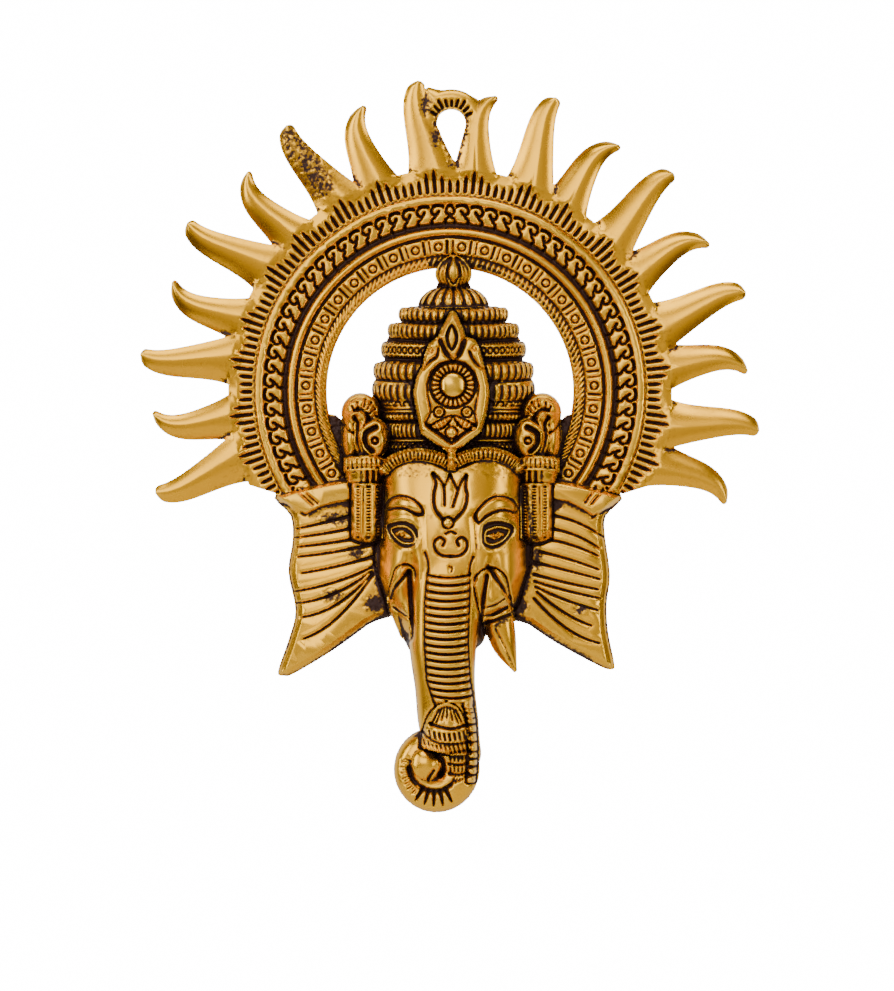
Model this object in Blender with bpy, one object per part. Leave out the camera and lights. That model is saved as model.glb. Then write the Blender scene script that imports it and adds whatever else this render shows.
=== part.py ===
"""A cast metal Ganesha wall hanging: an elephant head with a tiered crown inside a sun halo.

It is one casting with a flat back. The front faces -Y, up is +Z, and the origin is where the nail
bears under the hanging loop, on the plane of the wall. Sizes are millimetres. Every shape below is
given as across (to the viewer's right), up (from the halo's centre) and depth (out from the wall).
"""

import math

import bmesh
import bpy
from mathutils import Matrix, Vector

MM = 0.001

# The whole casting
NAIL_ABOVE_HALO = 88.2
BEHIND_WALL = 3.0
CARVED = 0.9
SUNK = 0.4

# The halo: radii of its turned bands
HALO_INNER = 38.6
ROPE_EDGE_OUTER = 41.9
STUD_BAND_OUTER = 47.6
BEAD_INNER = 48.6
BEAD_OUTER = 50.6
SCROLL_BAND_OUTER = 58.6
FILLET_OUTER = 61.2
HALO_OUTER = 69.4
HALO_THICK = 5.0
BEAD_RISE = 1.0
GROOVE_DEEP = 1.5
HALO_START = -42.0
HALO_END = 222.0
HALO_STEPS = 35

# The line along which the halo's two ends stop at the ears
EAR_LINE = ((-90.0, -20.0), (-66.0, -28.5), (-54.2, -32.2), (-32.9, -27.0), (-20.0, -24.0))
EAR_LAP = 0.4

# The carving on the halo: pitches in degrees
CARVED_FROM = -28.0
STUD_PITCH = 9.25
STUD_RADIUS = 1.4
LEAF_PITCH = 5.1
LEAF_RISE = 1.5
CURLED_LEAF = ((-1.4, 0.9), (0.9, 3.0), (2.0, 1.1), (0.3, -2.1))
FLUTE_PITCH = 5.3
FLUTE_RADIUS = 1.0
FLUTE_CLEAR = 0.4
HALO_SLOPE = 2.0

# The flames, which come in pairs of one long and one short, at angles in degrees
PAIRS = 9
PAIR_PITCH = 25.8
FIRST_LONG = -7.6
FIRST_SHORT = -18.9
LONG_TIP = 97.6
SHORT_TIP = 93.4
LONG_WIDTH = 14.2
SHORT_WIDTH = 13.0
LONG_LEAN = 4.9
SHORT_LEAN = 2.0
LONG_HOOK = 2.6
SHORT_HOOK = 4.2
HOOK_POWER = 6
FLAME_LAP = 4.4
FLAME_FLARE = 6.5
FLAME_CREST = 6.4
FLAME_EDGE = 2.4
FLAME_TIP_HALF = 0.9
FLAME_STATIONS = 5

# The hanging loop between the two top flames
LOOP_ACROSS = 0.4
LOOP_UP = 83.7
LOOP_HOLE_RADIUS = 4.5
LOOP_BAR = 6.2
LOOP_THICK = 4.8
LOOP_TAPER = 12.2

# The crown, turned about an upright axis and squashed towards the wall
CROWN_ACROSS = 1.1
CROWN_FORWARD = 4.0
CROWN_SQUASH = 0.62
CROWN_STEPS = 26
TIER_GAP = 1.3
FLUTE_SHARE = 0.035
CROWN_TIERS = (
    (25.4, 1.2, 4.6),
    (25.2, 6.4, 5.0),
    (22.8, 13.1, 5.4),
    (20.7, 19.0, 4.9),
    (17.3, 24.3, 4.7),
    (11.1, 29.8, 5.8),
)
CROWN_BANDS = ((22.8, -17.8, 4.2), (22.4, -12.6, 4.8), (22.6, -5.2, 7.0))
LINING_RADIUS = 20.4
LINING_DEEP = 5.4
BUD_RADIUS = 5.7
BUD_UP = 36.4
BUD_HALF = 5.6

# The head
HEAD_ACROSS = 0.9
HEAD_UP = -48.0
HEAD_SIZE = (23.6, 24.4, 36.0)
EYE_ACROSS = 14.7
EYE_UP = -45.2
EYE_SIZE = (3.4, 1.5, 2.3)
LID_SIZE = (4.7, 3.4)
LID_RADIUS = 0.75
BROW_ACROSS = 14.2
BROW_TOP = -33.6
BROW_HALF = 6.4
BROW_DROP = 4.4
BROW_RADIUS = 1.5
TRIDENT_TOP = -26.8
TRIDENT_BOTTOM = -40.0
TRIDENT_HALF = 5.0
TRIDENT_RADIUS = 0.6

# The trunk, as stations of across, depth, up and radius
TRUNK = (
    (-0.2, 11.0, -48.0, 11.2),
    (-0.9, 13.2, -60.0, 11.4),
    (-2.6, 13.2, -78.0, 11.7),
    (-1.3, 11.6, -92.0, 10.7),
    (0.0, 9.2, -104.0, 9.8),
    (2.4, 8.6, -114.0, 7.2),
)
CURL_ACROSS = -4.6
CURL_UP = -118.2
CURL_DEPTH = 9.5
CURL_HALF = (7.9, 8.2)
CURL_TURN = 310.0
CURL_FAT = 6.4
CURL_THIN = 5.6
CURL_STATIONS = 9
TIP_PLACE = (-6.4, 11.6, -116.4)
TIP_RADIUS = 5.2
TRUNK_RING_PITCH = 2.8
TRUNK_RINGS = 14
TRUNK_RING_TOP = -58.0
TRUNK_RING_ANGLE = 34.0
TRUNK_RING_RADIUS = 1.0

# The sweet that the trunk holds
SWEET_PLACE = (-1.2, 13.6, -104.6)
SWEET_SIZE = (7.2, 7.4, 7.0)

# The tusks, from root to tip, as stations of across, depth, up and radius
RIGHT_TUSK = (
    (12.6, 10.0, -60.5, 5.2),
    (15.0, 10.0, -71.5, 5.0),
    (17.2, 9.4, -80.0, 4.0),
    (20.0, 8.8, -87.2, 1.0),
)
LEFT_TUSK = ((-13.2, 10.0, -60.0, 4.6), (-15.0, 9.6, -69.5, 3.7), (-14.2, 9.0, -76.5, 1.4))

# The ears
EAR_THICK = 6.0
EAR_BAND_THICK = 7.6
EAR_BAND_LOW = ((29.9, -32.6), (42.0, -33.8), (51.2, -37.0))
EAR_SIDE = (
    (49.8, -38.6),
    (49.0, -46.0),
    (50.4, -56.0),
    (49.2, -65.0),
    (49.4, -75.0),
    (51.6, -82.0),
    (53.0, -87.2),
    (51.0, -88.8),
)
EAR_LOW = ((46.0, -87.0), (35.0, -80.2), (26.0, -73.4), (18.5, -68.6))
EAR_FOLDS = 7
EAR_FOLD_TOP = -40.0
EAR_FOLD_BOTTOM = -82.0
EAR_FOLD_OUT = 46.4
EAR_FOLD_RADIUS = 1.1

# The ornaments over each ear
FAN_PLACE = (28.2, -5.8)
FAN_SIZE = (6.6, 13.0, 6.4)
FAN_LINES = 5
CURL_PLACE = (25.8, -13.6)
CURL_SIZE = (7.2, 14.0, 7.0)
SPIRAL_PLACE = (24.4, -14.8)
SPIRAL_OUTER = 4.0
SPIRAL_INNER = 0.9
CUFF_UP = -22.6
CUFF_SIZE = (6.4, 14.4, 2.2)
WEB_THICK = 4.4
WEB_OUTLINE = (
    (0.0, -12.0),
    (18.0, -2.0),
    (24.0, -2.0),
    (30.5, -8.6),
    (39.2, -8.6),
    (35.0, -30.0),
    (22.5, -34.0),
    (0.0, -34.0),
)
TASSEL_ACROSS = 25.8
TASSEL_FORWARD = 8.0
CUP_TOP = -24.0
CUP_BOTTOM = -29.4
CUP_RADII = (5.9, 5.2)
TASSEL_BOTTOM = -47.2
TASSEL_RADIUS = 4.5

# The crest plate on the crown
PLATE_OUTLINE = (
    (0.3, -19.6),
    (7.6, -14.2),
    (9.0, -12.6),
    (9.2, -9.0),
    (11.4, 0.4),
    (10.6, 4.6),
    (8.8, 8.0),
    (6.0, 13.4),
    (3.6, 15.2),
)
PLATE_FRONT = 22.4
SUN_RADIUS = 6.4
SUN_UP = 1.5
SUN_PETALS = 9
LEAF_SHAPE = ((0.4, 9.6), (2.2, 12.0), (3.9, 16.6), (2.6, 20.8), (0.4, 23.8))
RING_PLACES = ((-4.1, -6.8), (4.1, -6.8), (0.0, -13.4))
RING_RADIUS = 1.7

# The corded rope along the forehead
ROPE_HALF = 21.0
ROPE_TOP = -19.1
ROPE_LOW = -24.4
ROPE_RADIUS = 1.7
ROPE_FORWARD = 18.6
ROPE_ROUND = 0.016


def point(across, depth, up):
    """A place in the object's own terms as a point in metres."""
    return Vector((across, -depth, up)) * MM


def spoke(radius, angle, depth):
    """A place on the halo as a point, from its radius and its angle in degrees."""
    turn = math.radians(angle)
    return point(radius * math.cos(turn), depth, radius * math.sin(turn))


def bulge(across, up, middle, size):
    """How far out from the wall a half-sunk ball's surface stands at a place."""
    share = ((across - middle[0]) / size[0]) ** 2 + ((up - middle[1]) / size[2]) ** 2
    return size[1] * math.sqrt(max(0.0, 1 - share)) - SUNK


def arc(across, up, radius, start, end, steps):
    """Points round part of a circle, with the angles in degrees."""
    turns = [math.radians(start + (end - start) * step / steps) for step in range(steps + 1)]
    return [(across + radius * math.cos(turn), up + radius * math.sin(turn)) for turn in turns]


def clear_scene():
    for obj in list(bpy.data.objects):
        bpy.data.objects.remove(obj)


def collection(name):
    made = bpy.data.collections.new(name)
    bpy.context.scene.collection.children.link(made)
    return made


def helper(name, bm, group):
    """An object that only joins or cuts the casting, so it isn't shown itself."""
    bmesh.ops.triangulate(bm, faces=bm.faces)
    bmesh.ops.recalc_face_normals(bm, faces=bm.faces)
    mesh = bpy.data.meshes.new(name)
    bm.to_mesh(mesh)
    bm.free()
    obj = bpy.data.objects.new(name, mesh)
    group.objects.link(obj)
    obj.hide_render = True
    obj.display_type = "WIRE"
    return obj


def baked(obj, group):
    """The object's evaluated shape as a closed mesh helper, in place of the object."""
    bpy.context.view_layer.update()
    graph = bpy.context.evaluated_depsgraph_get()
    mesh = bpy.data.meshes.new_from_object(obj.evaluated_get(graph))
    mesh.transform(obj.matrix_world)
    name = obj.name
    bpy.data.objects.remove(obj)
    bm = bmesh.new()
    bm.from_mesh(mesh)
    bmesh.ops.remove_doubles(bm, verts=bm.verts, dist=MM * 0.001)
    bpy.data.meshes.remove(mesh)
    return helper(name, bm, group)


def plate(name, outline, front, group, back=-BEHIND_WALL):
    """A flat outline, given as across and up, thickened from one depth to another."""
    curve = bpy.data.curves.new(name, "CURVE")
    curve.dimensions = "2D"
    curve.fill_mode = "BOTH"
    curve.extrude = (front - back) / 2 * MM
    spline = curve.splines.new("POLY")
    spline.points.add(len(outline) - 1)
    for spot, (across, up) in zip(spline.points, outline):
        spot.co = (across * MM, up * MM, 0, 1)
    spline.use_cyclic_u = True
    obj = bpy.data.objects.new(name, curve)
    group.objects.link(obj)
    obj.location = point(0, (front + back) / 2, 0)
    obj.rotation_euler = (math.pi / 2, 0, 0)
    return baked(obj, group)


def tube(name, stations, group, sides=0, closed=False):
    """A round bar through stations of across, depth, up and radius."""
    curve = bpy.data.curves.new(name, "CURVE")
    curve.dimensions = "3D"
    curve.bevel_depth = MM
    curve.bevel_resolution = sides
    curve.use_fill_caps = not closed
    spline = curve.splines.new("POLY")
    spline.points.add(len(stations) - 1)
    spline.use_cyclic_u = closed
    for spot, (across, depth, up, radius) in zip(spline.points, stations):
        spot.co = (*point(across, depth, up), 1)
        spot.radius = radius
    obj = bpy.data.objects.new(name, curve)
    group.objects.link(obj)
    return baked(obj, group)


def rod(name, start, end, radii, group, sides=4):
    """A straight bar between two points, with a radius at each end."""
    bm = bmesh.new()
    length = (end - start).length
    bmesh.ops.create_cone(
        bm,
        cap_ends=True,
        segments=sides,
        radius1=radii[0] * MM,
        radius2=radii[1] * MM,
        depth=length,
    )
    aim = (end - start).to_track_quat("Z", "Y").to_matrix().to_4x4()
    bmesh.ops.transform(bm, matrix=Matrix.Translation((start + end) / 2) @ aim, verts=bm.verts)
    return helper(name, bm, group)


def ellipsoid(name, place, size, group, segments=10, rings=6):
    """A ball stretched to its half extents across, in depth and up."""
    bm = bmesh.new()
    bmesh.ops.create_uvsphere(bm, u_segments=segments, v_segments=rings, radius=MM)
    stretch = Matrix.Diagonal((*size, 1))
    bmesh.ops.transform(bm, matrix=Matrix.Translation(point(*place)) @ stretch, verts=bm.verts)
    return helper(name, bm, group)


def halo(group):
    """The turned bands, spun through the part of a circle that stands above the ears."""
    groove = HALO_THICK - GROOVE_DEEP
    bead = HALO_THICK + BEAD_RISE
    lip = 0.5
    profile = (
        (HALO_INNER, -BEHIND_WALL),
        (HALO_INNER, groove),
        (HALO_INNER + 2 * lip, HALO_THICK),
        (ROPE_EDGE_OUTER - lip, HALO_THICK - lip),
        (ROPE_EDGE_OUTER, groove),
        (ROPE_EDGE_OUTER + 2 * lip, HALO_THICK),
        (STUD_BAND_OUTER, HALO_THICK),
        (BEAD_INNER - lip, groove),
        (BEAD_INNER + lip, bead),
        (BEAD_OUTER - lip, bead),
        (BEAD_OUTER + lip, groove),
        (SCROLL_BAND_OUTER, groove),
        (SCROLL_BAND_OUTER + lip, bead),
        (FILLET_OUTER, HALO_THICK - lip),
        (HALO_OUTER - HALO_SLOPE, HALO_THICK - lip),
        (HALO_OUTER, FLAME_EDGE),
        (HALO_OUTER, -BEHIND_WALL),
    )
    bm = bmesh.new()
    section = bm.faces.new([bm.verts.new(spoke(radius, HALO_START, depth)) for radius, depth in profile])
    bmesh.ops.spin(
        bm,
        geom=[section],
        cent=(0, 0, 0),
        axis=(0, -1, 0),
        angle=math.radians(HALO_END - HALO_START),
        steps=HALO_STEPS,
        use_duplicate=False,
    )
    return helper("halo", bm, group)


def along_halo(pitch, offset=0.0):
    """Angles of a pattern centred on the top of the halo."""
    count = int((90 - CARVED_FROM - offset) / pitch)
    return [90 + offset + pitch * index for index in range(-count, count + 1)]


def halo_carving(forms, first_cuts):
    """Studs, a chain of curled leaves, the flutes, and the line where the halo meets the ears."""
    middle = (ROPE_EDGE_OUTER + STUD_BAND_OUTER) / 2 + 0.5
    for index, angle in enumerate(along_halo(STUD_PITCH)):
        start = spoke(middle, angle, HALO_THICK - CARVED)
        end = spoke(middle, angle, HALO_THICK + CARVED)
        rod(f"stud_{index}", start, end, (STUD_RADIUS, STUD_RADIUS * 0.7), forms)
    low = HALO_THICK - GROOVE_DEEP
    leaf_middle = (BEAD_OUTER + SCROLL_BAND_OUTER) / 2
    for index, angle in enumerate(along_halo(LEAF_PITCH, LEAF_PITCH / 2)):
        side = -1 if angle > 90 else 1
        turn = math.radians(angle)
        outline = []
        for sideways, outward in CURLED_LEAF:
            radius = leaf_middle + outward
            across = radius * math.cos(turn) + side * sideways * math.sin(turn)
            up = radius * math.sin(turn) - side * sideways * math.cos(turn)
            outline.append((across, up))
        plate(f"curled_leaf_{index}", outline, low + LEAF_RISE, forms, back=low - CARVED)
    for index, angle in enumerate(along_halo(FLUTE_PITCH)):
        depth = HALO_THICK - FLUTE_RADIUS / 3
        start = spoke(FILLET_OUTER + FLUTE_CLEAR, angle, depth)
        end = spoke(HALO_OUTER - HALO_SLOPE - FLUTE_CLEAR, angle, depth)
        rod(f"flute_{index}", start, end, (FLUTE_RADIUS, FLUTE_RADIUS), first_cuts)
    for name, side in (("left", 1), ("right", -1)):
        outline = [(side * across, up) for across, up in EAR_LINE]
        outline += [(outline[-1][0], -HALO_OUTER), (outline[0][0], -HALO_OUTER)]
        plate(f"below_ear_line_{name}", outline, 4 * HALO_THICK, first_cuts, back=-2 * BEHIND_WALL)


def flame(name, base, lean, hook, width, tip, group):
    """One S-shaped flame: a ridge lofted from sections along a line that leans and then hooks over."""
    bm = bmesh.new()
    rings = []
    for index in range(FLAME_STATIONS + 1):
        share = index / FLAME_STATIONS
        root = HALO_OUTER - FLAME_LAP
        radius = root + (tip - root) * share
        angle = base + lean * (share - 0.4) - hook * share**HOOK_POWER
        half = (width * math.sqrt(1.03 - share) + FLAME_FLARE * (1 - share) ** 6) / 2
        half += FLAME_TIP_HALF * share**4
        swing = math.degrees(half / radius)
        rise = min(1.0, 0.3 + 3 * share)
        crest = FLAME_EDGE + (FLAME_CREST - FLAME_EDGE) * rise * (1 - 0.5 * share)
        ring = (
            (angle - swing, -BEHIND_WALL),
            (angle - swing, FLAME_EDGE),
            (angle - swing * 0.1, crest),
            (angle + swing, FLAME_EDGE),
            (angle + swing, -BEHIND_WALL),
        )
        rings.append([bm.verts.new(spoke(radius, turn, depth)) for turn, depth in ring])
    for ring, after in zip(rings, rings[1:]):
        for side in range(len(ring)):
            beside = (side + 1) % len(ring)
            bm.faces.new((ring[side], ring[beside], after[beside], after[side]))
    bm.faces.new(rings[0])
    bm.faces.new(rings[-1])
    return helper(name, bm, group)


def flames(group):
    for index in range(PAIRS):
        turn = index * PAIR_PITCH
        long = (FIRST_LONG + turn, LONG_LEAN, LONG_HOOK, LONG_WIDTH, LONG_TIP)
        short = (FIRST_SHORT + turn, SHORT_LEAN, SHORT_HOOK, SHORT_WIDTH, SHORT_TIP)
        flame(f"long_flame_{index}", *long, group)
        flame(f"short_flame_{index}", *short, group)


def hanging_loop(forms, cuts):
    """A bar arched between the top flames, over a drop-shaped hole for the nail."""
    bar = arc(LOOP_ACROSS, LOOP_UP, LOOP_HOLE_RADIUS + LOOP_BAR, -20, 200, 12)
    plate("loop_bar", bar, LOOP_THICK, forms)
    hole = arc(LOOP_ACROSS, LOOP_UP, LOOP_HOLE_RADIUS, -10, 190, 10)
    hole.append((LOOP_ACROSS + 1.3, LOOP_UP - LOOP_TAPER))
    plate("loop_hole", hole, 3 * LOOP_THICK, cuts, back=-2 * BEHIND_WALL)


def crown(group):
    """Stacked tiers that narrow to a petalled cap and a bud, fluted all the way round."""
    bud = ((0.0, 1.0), (0.7, 0.75), (1.0, 0.15), (0.9, -0.5))
    profile = [(BUD_RADIUS * radius, BUD_UP + BUD_HALF * up, 1.5) for radius, up in bud]
    for radius, up, tall in reversed(CROWN_BANDS + CROWN_TIERS):
        profile.append((radius, up + tall * 0.25, 1))
        profile.append((radius, up - tall * 0.3, 1))
        profile.append((radius - TIER_GAP, up - tall * 0.5, 0))
    top = profile[-1][1]
    profile += [(LINING_RADIUS, top, 0), (LINING_RADIUS, top - LINING_DEEP, 0), (0.0, top - LINING_DEEP, 0)]
    bm = bmesh.new()
    rows = []
    for radius, up, flute in profile:
        row = []
        for step in range(CROWN_STEPS):
            turn = math.radians(360 / CROWN_STEPS * (step + 0.5))
            reach = radius * (1 - FLUTE_SHARE * flute * (step % 2))
            across = CROWN_ACROSS + reach * math.cos(turn)
            depth = CROWN_FORWARD + CROWN_SQUASH * reach * math.sin(turn)
            row.append(bm.verts.new(point(across, depth, up)))
        rows.append(row)
    for row, below in zip(rows, rows[1:]):
        for step in range(CROWN_STEPS):
            beside = (step + 1) % CROWN_STEPS
            bm.faces.new((row[step], row[beside], below[beside], below[step]))
    bmesh.ops.remove_doubles(bm, verts=bm.verts, dist=MM * 0.001)
    return helper("crown", bm, group)


def mirrored(outline, across):
    """A right-hand half outline closed with its mirror image, about an upright line."""
    right = [(across + sideways, up) for sideways, up in outline]
    left = [(across - sideways, up) for sideways, up in reversed(outline)]
    return right + left


def crest(group):
    """The plate on the crown's front: a sun, three rings, and a leaf over them."""
    outline = mirrored(PLATE_OUTLINE, CROWN_ACROSS)
    plate("crest_plate", outline, PLATE_FRONT, group, back=5.0)
    plate("crest_leaf", mirrored(LEAF_SHAPE, CROWN_ACROSS), PLATE_FRONT - CARVED, group, back=6.0)
    petals = []
    for step in range(2 * SUN_PETALS):
        reach = SUN_RADIUS * (0.78 if step % 2 else 1)
        turn = math.radians(180 / SUN_PETALS * step)
        petals.append((CROWN_ACROSS + reach * math.cos(turn), SUN_UP + reach * math.sin(turn)))
    plate("crest_sun", petals, PLATE_FRONT + CARVED, group, back=7.0)
    ellipsoid("crest_sun_disc", (CROWN_ACROSS, PLATE_FRONT - SUNK, SUN_UP), (3.8, 2.2, 3.8), group, 10, 6)
    for index, (across, up) in enumerate(RING_PLACES):
        start = point(CROWN_ACROSS + across, PLATE_FRONT - CARVED, up)
        end = point(CROWN_ACROSS + across, PLATE_FRONT + CARVED, up)
        rod(f"crest_ring_{index}", start, end, (RING_RADIUS, RING_RADIUS * 0.6), group, sides=6)


def forehead_rope(group):
    """The corded rope under the crown, which rises over each half of the forehead."""
    stations = []
    steps = 10
    for step in range(steps + 1):
        across = ROPE_HALF * (2 * step / steps - 1)
        lift = (abs(across) - ROPE_HALF / 2) / (ROPE_HALF / 2)
        up = ROPE_TOP + (ROPE_LOW - ROPE_TOP) * lift**2
        depth = ROPE_FORWARD - ROPE_ROUND * across**2
        stations.append((across + HEAD_ACROSS, depth, up, ROPE_RADIUS))
    tube("forehead_rope", stations, group, sides=0)


def on_face(places, radius, sunk):
    """Stations that follow the forehead's surface, sunk a little into it."""
    middle = (HEAD_ACROSS, HEAD_UP)
    return [(across, bulge(across, up, middle, HEAD_SIZE) - sunk, up, radius) for across, up in places]


def head(group):
    """The forehead, cheeks, eyes, brows and the trident drawn between them."""
    ellipsoid("forehead", (HEAD_ACROSS, -SUNK, HEAD_UP), HEAD_SIZE, group, 18, 10)
    for name, side in (("left", -1), ("right", 1)):
        across = side * EYE_ACROSS
        eye = on_face([(across, EYE_UP)], 0, 0)[0][:3]
        ellipsoid(f"eye_{name}", eye, EYE_SIZE, group, 8, 6)
        lids = []
        for step in range(8):
            turn = math.tau * step / 8
            lids.append((across + LID_SIZE[0] * math.cos(turn), EYE_UP + LID_SIZE[1] * math.sin(turn)))
        tube(f"lids_{name}", on_face(lids, LID_RADIUS, LID_RADIUS / 3), group, closed=True)
        brow = []
        for step in range(-2, 3):
            share = step / 2
            brow.append((side * (BROW_ACROSS - BROW_HALF * share), BROW_TOP - BROW_DROP * share**2))
        tube(f"brow_{name}", on_face(brow, BROW_RADIUS, BROW_RADIUS / 2), group)
    arms = []
    for step in range(-3, 4):
        share = abs(step) / 3
        reach = math.copysign(TRIDENT_HALF * math.sqrt(share), step) if step else 0
        arms.append((reach, TRIDENT_BOTTOM + (TRIDENT_TOP - TRIDENT_BOTTOM) * share))
    tube("trident_arms", on_face(arms, TRIDENT_RADIUS, TRIDENT_RADIUS / 2), group)
    middle = (TRIDENT_TOP * 2 + TRIDENT_BOTTOM) / 3
    petal = [(0.1, TRIDENT_TOP), (1.9, middle), (0.1, TRIDENT_BOTTOM + 2), (-1.9, middle)]
    tube("trident_petal", on_face(petal, TRIDENT_RADIUS, TRIDENT_RADIUS / 2), group, closed=True)


def trunk(group):
    """The trunk with its rings, curled round the sweet that it holds, and the two tusks."""
    tube("trunk", TRUNK, group, sides=3)
    curl = []
    for step in range(CURL_STATIONS + 1):
        share = step / CURL_STATIONS
        turn = math.radians(50 - CURL_TURN * share)
        reach = 1 - 0.12 * share**2
        across = CURL_ACROSS + CURL_HALF[0] * reach * math.cos(turn)
        up = CURL_UP + CURL_HALF[1] * reach * math.sin(turn)
        curl.append((across, CURL_DEPTH, up, CURL_FAT + (CURL_THIN - CURL_FAT) * share))
    tube("trunk_curl", curl, group, sides=2)
    ellipsoid("trunk_tip", TIP_PLACE, (TIP_RADIUS, TIP_RADIUS, TIP_RADIUS), group)
    ellipsoid("curl_middle", (CURL_ACROSS, -SUNK, CURL_UP), (CURL_HALF[0], 12.5, CURL_HALF[1]), group)
    ellipsoid("sweet", SWEET_PLACE, SWEET_SIZE, group)
    tube("tusk_right", RIGHT_TUSK, group, sides=1)
    tube("tusk_left", LEFT_TUSK, group, sides=1)
    for index in range(TRUNK_RINGS):
        up = TRUNK_RING_TOP - index * TRUNK_RING_PITCH
        before, after = next(pair for pair in zip(TRUNK, TRUNK[1:]) if pair[1][2] <= up)
        share = (up - before[2]) / (after[2] - before[2])
        across, depth, _, radius = (a + (b - a) * share for a, b in zip(before, after))
        ring = []
        for turn in (-1.0, 0.0, 1.0):
            swing = math.radians(turn * TRUNK_RING_ANGLE)
            place = (across + radius * math.sin(swing), depth + radius * math.cos(swing) - 0.2)
            ring.append((*place, up, TRUNK_RING_RADIUS))
        tube(f"trunk_ring_{index}", ring, group)


def ears(forms, cuts):
    """Two fan-shaped ears, each with a folded top band, a raised rim and spreading folds."""
    for name, side in (("left", -1), ("right", 1)):
        top = [(-side * across, up + EAR_LAP) for across, up in EAR_LINE[2:]]
        outline = list(reversed(top)) + [(side * across, up) for across, up in EAR_SIDE + EAR_LOW]
        plate(f"ear_{name}", outline, EAR_THICK, forms)
        lap = [(across, up + EAR_LAP) for across, up in top[:2]]
        band = [(side * across, up) for across, up in EAR_BAND_LOW]
        plate(f"ear_band_{name}", lap + band, EAR_BAND_THICK, forms)
        for index in range(EAR_FOLDS):
            share = index / (EAR_FOLDS - 1)
            start = point(side * (31.3 - 6 * share), EAR_THICK + 0.3, -38.4 - 30 * share)
            up = EAR_FOLD_TOP + (EAR_FOLD_BOTTOM - EAR_FOLD_TOP) * share
            end = point(side * EAR_FOLD_OUT, EAR_THICK + 0.3, up)
            rod(f"ear_fold_{name}_{index}", start, end, (EAR_FOLD_RADIUS, EAR_FOLD_RADIUS / 2), cuts)


def side_ornaments(forms, cuts):
    """The fan, scroll, cuff, cup and tassel over each ear, and the web that ties them to the halo."""
    for name, side in (("left", -1), ("right", 1)):
        fan = side * FAN_PLACE[0] + CROWN_ACROSS
        ellipsoid(f"fan_{name}", (fan, -SUNK, FAN_PLACE[1]), FAN_SIZE, forms)
        for index in range(FAN_LINES):
            turn = math.radians(15 + 150 * index / (FAN_LINES - 1))
            spread = (math.cos(turn), math.sin(turn))
            start = point(fan + spread[0], FAN_SIZE[1], FAN_PLACE[1] + spread[1])
            end = point(fan + 5 * spread[0], FAN_SIZE[1] * 0.6, FAN_PLACE[1] + 5 * spread[1])
            rod(f"fan_line_{name}_{index}", start, end, (0.5, 0.8), cuts)
        middle = (side * CURL_PLACE[0] + CROWN_ACROSS, CURL_PLACE[1])
        ellipsoid(f"scroll_{name}", (middle[0], -SUNK, middle[1]), CURL_SIZE, forms)
        spiral = []
        for step in range(7):
            share = step / 6
            turn = math.radians(110 + 400 * share)
            reach = SPIRAL_OUTER + (SPIRAL_INNER - SPIRAL_OUTER) * share
            across = side * (SPIRAL_PLACE[0] + reach * math.cos(turn)) + CROWN_ACROSS
            up = SPIRAL_PLACE[1] + reach * math.sin(turn)
            spiral.append((across, bulge(across, up, middle, CURL_SIZE), up, 0.9))
        tube(f"spiral_{name}", spiral, forms)
        cuff = (side * CURL_PLACE[0] + CROWN_ACROSS, -SUNK, CUFF_UP)
        ellipsoid(f"cuff_{name}", cuff, CUFF_SIZE, forms, 10, 4)
        across = side * TASSEL_ACROSS + CROWN_ACROSS
        places = [point(across, TASSEL_FORWARD, up) for up in (CUP_TOP, CUP_BOTTOM)]
        rod(f"cup_{name}", *places, CUP_RADII, forms, sides=8)
        places = [point(across, TASSEL_FORWARD, up) for up in (CUP_BOTTOM + 1, TASSEL_BOTTOM)]
        rod(f"tassel_{name}", *places, (TASSEL_RADIUS, TASSEL_RADIUS - 0.5), forms, sides=8)
        bed = (across - side * TASSEL_RADIUS * 1.3, across + side * TASSEL_RADIUS * 0.8)
        bed_foot = TASSEL_BOTTOM + 1
        corners = [(bed[0], CUP_TOP), (bed[1], CUP_TOP), (bed[1], bed_foot), (bed[0], bed_foot)]
        plate(f"tassel_bed_{name}", corners, TASSEL_FORWARD - SUNK, forms)
        web = [(side * across, up) for across, up in WEB_OUTLINE]
        plate(f"web_{name}", web, WEB_THICK, forms)


def wall_plane(cuts):
    """Everything behind the plane of the wall comes off, which leaves one flat back."""
    bm = bmesh.new()
    bmesh.ops.create_cube(bm, size=1)
    size = 2 * (LONG_TIP + NAIL_ABOVE_HALO)
    room = Matrix.Diagonal((size, size / 2, size, 1))
    behind = Matrix.Scale(MM, 4) @ Matrix.Translation((0, size / 4, 0)) @ room
    bmesh.ops.transform(bm, matrix=behind, verts=bm.verts)
    helper("behind_wall", bm, cuts)


def gold_finish():
    material = bpy.data.materials.new("antique_gold")
    material.use_nodes = True
    shader = material.node_tree.nodes["Principled BSDF"]
    shader.inputs["Base Color"].default_value = (0.70, 0.38, 0.08, 1)
    shader.inputs["Metallic"].default_value = 1.0
    shader.inputs["Roughness"].default_value = 0.36
    return material


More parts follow.
